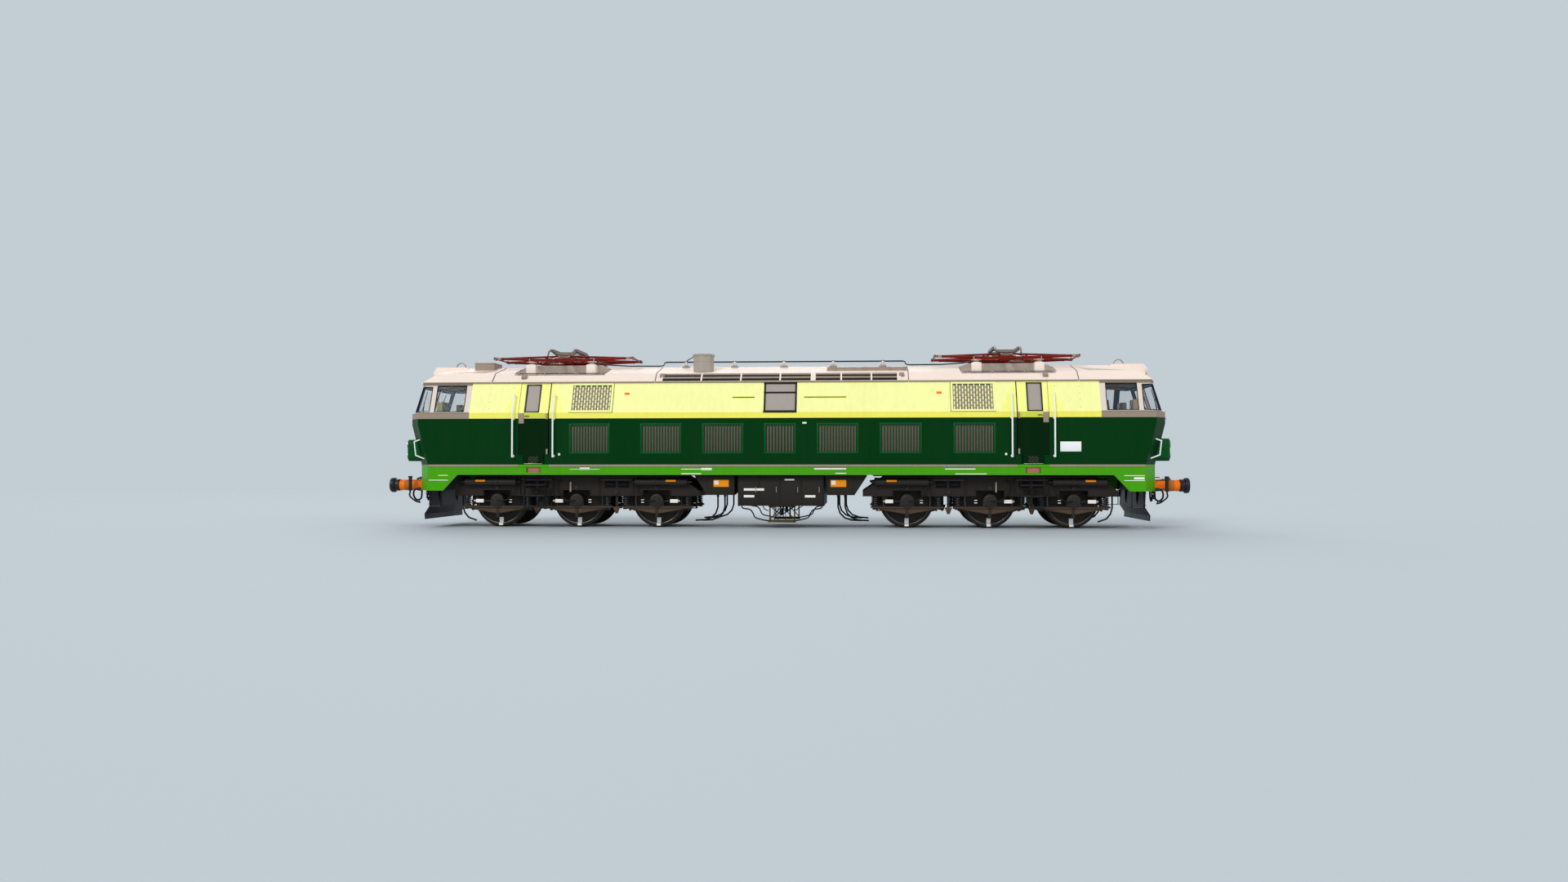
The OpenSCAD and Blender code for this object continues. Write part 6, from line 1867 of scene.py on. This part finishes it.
@dataclass
class Bumpers(Fittings):
    """Buffers, couplings, hoses and plough of the ends.

    Attributes:
        y: distance of the buffers from the middle line.
        z: height of the buffers.
        face: distance of the buffer faces from the middle.
    """

    y: float = 0.875
    z: float = 1.02
    face: float = 9.62

    def buffer(self, piece: Piece) -> None:
        """Adds a buffer's flange, bands and head."""
        piece.box((8.80, -self.y - 0.17, self.z - 0.13), (8.84, -self.y + 0.17, self.z + 0.13), ORANGE, 0.01)
        piece.bolts([(8.84, -self.y + u, self.z + v) for u in (-0.14, 0.14) for v in (-0.1, 0.1)], AHEAD,
                    CAST, 0.018)
        # The middle band is darker orange, painted shade of its recess.
        for x, radius, thick, finish in ((8.90, 0.136, 0.03, ORANGE), (9.11, 0.1335, 0.16, RIM_ORANGE),
                                         (9.35, 0.137, 0.028, ORANGE)):
            piece.band((0.11, radius), (0.0, thick), (x, -self.y, self.z), AHEAD, finish, 40)
        head = ((0.0, 0.0005), (0.09, 0.001), (0.16, 0.006), (0.178, 0.014), (0.182, 0.03), (0.182, 0.085),
                (0.172, 0.10), (0.150, 0.115), (0.144, 0.14), (0.147, 0.20), (0.138, 0.212), (0.0, 0.212))
        outline = [(radius, self.face - back) for radius, back in head]
        piece.lathe(outline, (0.0, -self.y, self.z), AHEAD, BLACK, 48)

    def coupling(self, piece: Piece) -> None:
        """Adds the screw coupling's details and the plough's ribs."""
        piece.rod((9.0, 0.0, 0.86), (9.02, 0.0, 0.74), 0.02, CAST, 12)
        piece.rod((9.01, 0.0, 0.80), (9.01, -0.16, 0.80), 0.012, CAST, 10)
        piece.rod((9.01, -0.16, 0.83), (9.01, -0.16, 0.77), 0.02, CAST, 12)
        piece.bolts([(8.83, -0.12, self.z + v) for v in (-0.09, 0.09)], AHEAD, CAST, 0.018)
        piece.box((8.60, -1.345, 0.2), (8.62, 0.0, 0.225), STEEL, 0.003)
        for y in (0.15, 0.45, 0.9, 1.25):
            piece.box((8.515, -y - 0.008, 0.52), (8.53, -y + 0.008, 0.88), PLOUGH, 0.003)
        piece.bolts([(8.524, -y, z) for y in (0.3, 0.75, 1.1, 1.3) for z in (0.84, 0.56)], AHEAD, CAST, 0.014)
        piece.box((8.46, -1.352, 0.70), (8.50, -1.33, 0.885), FRAME, 0.004)

    def hoses(self, piece: Piece) -> None:
        """Adds the taps, clamps and handles of the brake hoses and the heating cable."""
        for y in (0.31, 0.53):
            for z in (0.955, 0.80):
                piece.band((0.02, 0.03), (0.0, 0.025), (8.86, -y, z), UP, STEEL, 16)
            piece.rod((8.895, -y, 1.02), (8.93, -y, 1.02), 0.018, CAST, 12)
            piece.box((8.92, -y - 0.012, 0.93), (8.935, -y + 0.012, 1.03), TAP_RED if y > 0.4 else CAST,
                      0.004)
        piece.box((8.835, -0.47, 0.628), (8.885, -0.37, 0.70), CAST, 0.012)
        piece.box((8.80, -0.62, 1.20), (9.02, -0.60, 1.22), BLACK, 0.005)
        points = [(8.83, -1.20, 0.93), (8.93, -1.20, 0.9), (8.96, -1.18, 0.78), (8.92, -1.14, 0.68),
                  (8.86, -1.10, 0.66), (8.80, -1.08, 0.72), (8.79, -1.08, 0.89)]
        piece.tube(smooth_path(points), 0.022, RUBBER, 10)
        piece.rod((8.78, -1.20, 0.93), (8.86, -1.20, 0.93), 0.04, CAST, 16)
        for z in (1.13, 0.93):
            piece.box((8.79, -1.17, z), (9.12, -1.15, z + 0.018), BLACK, 0.004)
        for low, high, radius in ((0.88, 1.20, 0.04), (1.20, 1.24, 0.05)):
            piece.rod((9.05, -1.16, low), (9.05, -1.16, high), radius, BLACK, 16)
        piece.rod((8.82, -1.1, 0.60), (8.84, -1.1, 0.60), 0.02, TAP_RED, 10)
        points = [(9.05, -1.16, 0.88), (9.06, -1.17, 0.76), (8.98, -1.17, 0.68), (8.9, -1.14, 0.62),
                  (8.835, -1.10, 0.60)]
        piece.tube(smooth_path(points), 0.02, RUBBER, 8)
        piece.box((8.838, -1.112, 0.595), (8.862, -1.088, 0.665), CAST, 0.003)

    def jobs(self) -> Iterable[Job]:
        """Lists the ends' pieces."""
        return (Job("buffer_heads", self.buffer, BOTH),
                Job("coupling_fittings", self.coupling, BOTH),
                Job("hose_fittings", self.hoses, BOTH))


# ------------------------------------------------------------------ CAD finishes and the stage


class Painter:
    """Gives the CAD nodes their finishes."""

    exact: dict[str, object] = {
        "underframe": FRAME, "side_skirts": LIGHT_GREEN, "side_walls": LIVERY,
        "cab_shells": LIVERY, "cab_roofs": ROOF, "pantograph_roofs": ROOF,
        "middle_roof": ROOF, "windows": Glazing(), "side_louvres": SLAT,
        "cab_linings": LINING, "driver_desks": DESK, "seat_frames": BLACK,
        "seat_cushions": OLIVE, "machine_block": MACHINE, "headlamps": LAMP_BODIES,
        "buffers": BUFFER, "draw_gear": CAST, "snow_ploughs": PLOUGH,
        "brake_hoses": RUBBER, "handrails": WHITE, "door_steps": FRAME,
        "equipment_boxes": BOX, "sand_pipes": RUBBER, "magnet_frame": BOGIE,
        "roof_equipment": FITTINGS, "pantograph_bases": RED}
    families: dict[str, Finish] = {
        "cab_door": SHADED_DOOR, "bogie_frame": BOGIE, "axleboxes": AXLE_CAST,
        "coil_springs": SPRING, "traction_motors": MACHINE_DARK, "brake_gear": CAST,
        "wheelset": WHEEL, "lower_arm": RED, "upper_arm": RED, "pantograph_head": CARBON_FRAME}

    def paint_all(self, nodes: dict[str, bpy.types.Object]) -> None:
        """Assigns a finish to every node.

        Args:
            nodes: the CAD nodes by name.
        """
        for name, node in nodes.items():
            family = (finish for key, finish in self.families.items() if name.startswith(key))
            finish = self.exact.get(name) or next(family)
            node.data.materials.clear()
            node.data.materials.append(finish.material())
        LOG.info("painted %d nodes", len(nodes))


@dataclass
class Studio:
    """The floor, the lights and the camera.

    Attributes:
        eye: the camera's place.
        yaw: its turn from +Y towards +X, in degrees.
        pitch: its tilt above the level, in degrees.
        lens: focal length in millimetres.
        sensor: width of the sensor in millimetres.
        backdrop: colour of the floor and the background.
        floor_radius: radius of the floor.
        floor_fade: distances that the floor fades out between.
        air: strength of the light from all round.
        suns: name, strength, spread, tilt and turn of each sun, in degrees.
    """

    eye: Point = (1.94, -29.94, 1.45)
    yaw: float = -3.71
    pitch: float = 1.25
    lens: float = 27.7125
    sensor: float = 36.0
    backdrop: Colour = paint("C3CDD4")
    floor_radius: float = 160.0
    floor_fade: Span = (16.0, 60.0)
    air: float = 0.55
    suns: tuple[tuple[str, float, float, float, float], ...] = (
        ("key_sun", 1.25, 25.0, 56.0, -26.0),
        ("fill_sun", 0.45, 60.0, 70.0, 45.0),
        ("rear_sun", 0.8, 40.0, -56.0, 15.0))

    def camera(self) -> None:
        """Places the camera."""
        data = bpy.data.cameras.new("main_camera")
        data.sensor_width, data.lens = self.sensor, self.lens
        data.clip_end = 500.0
        camera = bpy.data.objects.new("main_camera", data)
        camera.location = self.eye
        camera.rotation_euler = (math.radians(90 + self.pitch), 0.0, math.radians(-self.yaw))
        bpy.context.scene.collection.objects.link(camera)
        bpy.context.scene.camera = camera

    def floor(self) -> None:
        """Builds a round floor that fades into the background."""
        mesh = bmesh.new()
        bmesh.ops.create_circle(mesh, cap_ends=True, segments=96, radius=self.floor_radius)
        bmesh.ops.translate(mesh, verts=mesh.verts[:], vec=(0, 0, -0.004))
        data = bpy.data.meshes.new("studio_floor")
        mesh.to_mesh(data)
        mesh.free()
        floor = bpy.data.objects.new("studio_floor", data)
        bpy.context.scene.collection.objects.link(floor)
        graph = Graph("studio_floor")
        shader = graph.shader.inputs
        shader["Base Color"].default_value = (*self.backdrop, 1.0)
        shader["Roughness"].default_value = 0.9
        clear = graph.tree.nodes.new("ShaderNodeBsdfTransparent")
        blend = graph.tree.nodes.new("ShaderNodeMixShader")
        length = graph.tree.nodes.new("ShaderNodeVectorMath")
        length.operation = "LENGTH"
        graph.join(graph.place, length.inputs[0])
        fade = graph.span(length.outputs["Value"], *self.floor_fade)
        graph.join(fade, blend.inputs[0])
        graph.join(graph.shader.outputs[0], blend.inputs[1])
        graph.join(clear.outputs[0], blend.inputs[2])
        output = next(n for n in graph.tree.nodes if n.type == "OUTPUT_MATERIAL")
        graph.join(blend.outputs[0], output.inputs["Surface"])
        data.materials.append(graph.material)

    def world(self) -> None:
        """Lights the scene softly from all round."""
        world = bpy.data.worlds.new("studio_air")
        world.use_nodes = True
        tree = world.node_tree
        tree.nodes.clear()
        output = tree.nodes.new("ShaderNodeOutputWorld")
        seen, light = tree.nodes.new("ShaderNodeBackground"), tree.nodes.new("ShaderNodeBackground")
        seen.inputs["Color"].default_value = (*self.backdrop, 1.0)
        light.inputs["Color"].default_value = (0.96, 0.98, 1.0, 1.0)
        light.inputs["Strength"].default_value = self.air
        path = tree.nodes.new("ShaderNodeLightPath")
        shown = path.outputs["Is Camera Ray"]
        for ray in ("Is Transmission Ray", "Is Glossy Ray"):
            either = tree.nodes.new("ShaderNodeMath")
            either.operation = "MAXIMUM"
            tree.links.new(shown, either.inputs[0])
            tree.links.new(path.outputs[ray], either.inputs[1])
            shown = either.outputs[0]
        blend = tree.nodes.new("ShaderNodeMixShader")
        tree.links.new(shown, blend.inputs[0])
        tree.links.new(light.outputs[0], blend.inputs[1])
        tree.links.new(seen.outputs[0], blend.inputs[2])
        tree.links.new(blend.outputs[0], output.inputs["Surface"])
        bpy.context.scene.world = world

    def lamps(self) -> None:
        """Hangs three soft suns: a key from the front left, a fill and one from behind."""
        for name, strength, spread, tilt, turn in self.suns:
            data = bpy.data.lights.new(name, "SUN")
            data.energy = strength
            data.angle = math.radians(spread)
            lamp = bpy.data.objects.new(name, data)
            lamp.rotation_euler = (math.radians(tilt), 0.0, math.radians(turn))
            bpy.context.scene.collection.objects.link(lamp)

    def build(self) -> None:
        """Sets up the studio."""
        self.camera()
        self.floor()
        self.world()
        self.lamps()
        bpy.context.scene.view_settings.view_transform = "Standard"


def main() -> None:
    """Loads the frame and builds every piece."""
    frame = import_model()
    Painter().paint_all(frame["nodes"])
    for part in (Louvres(), SideTrim(), CabDoors(), CabFronts(), TopLamps(), CabRooms(), Seats(), Roofs(),
                 Pantographs(), Bogies(), Wheels(), Underfloor(), Bumpers(), Studio()):
        part.build()
        LOG.info("built %s", type(part).__name__)


if __name__ == "__main__":
    logging.basicConfig(level=logging.INFO, format="%(message)s")
    main()
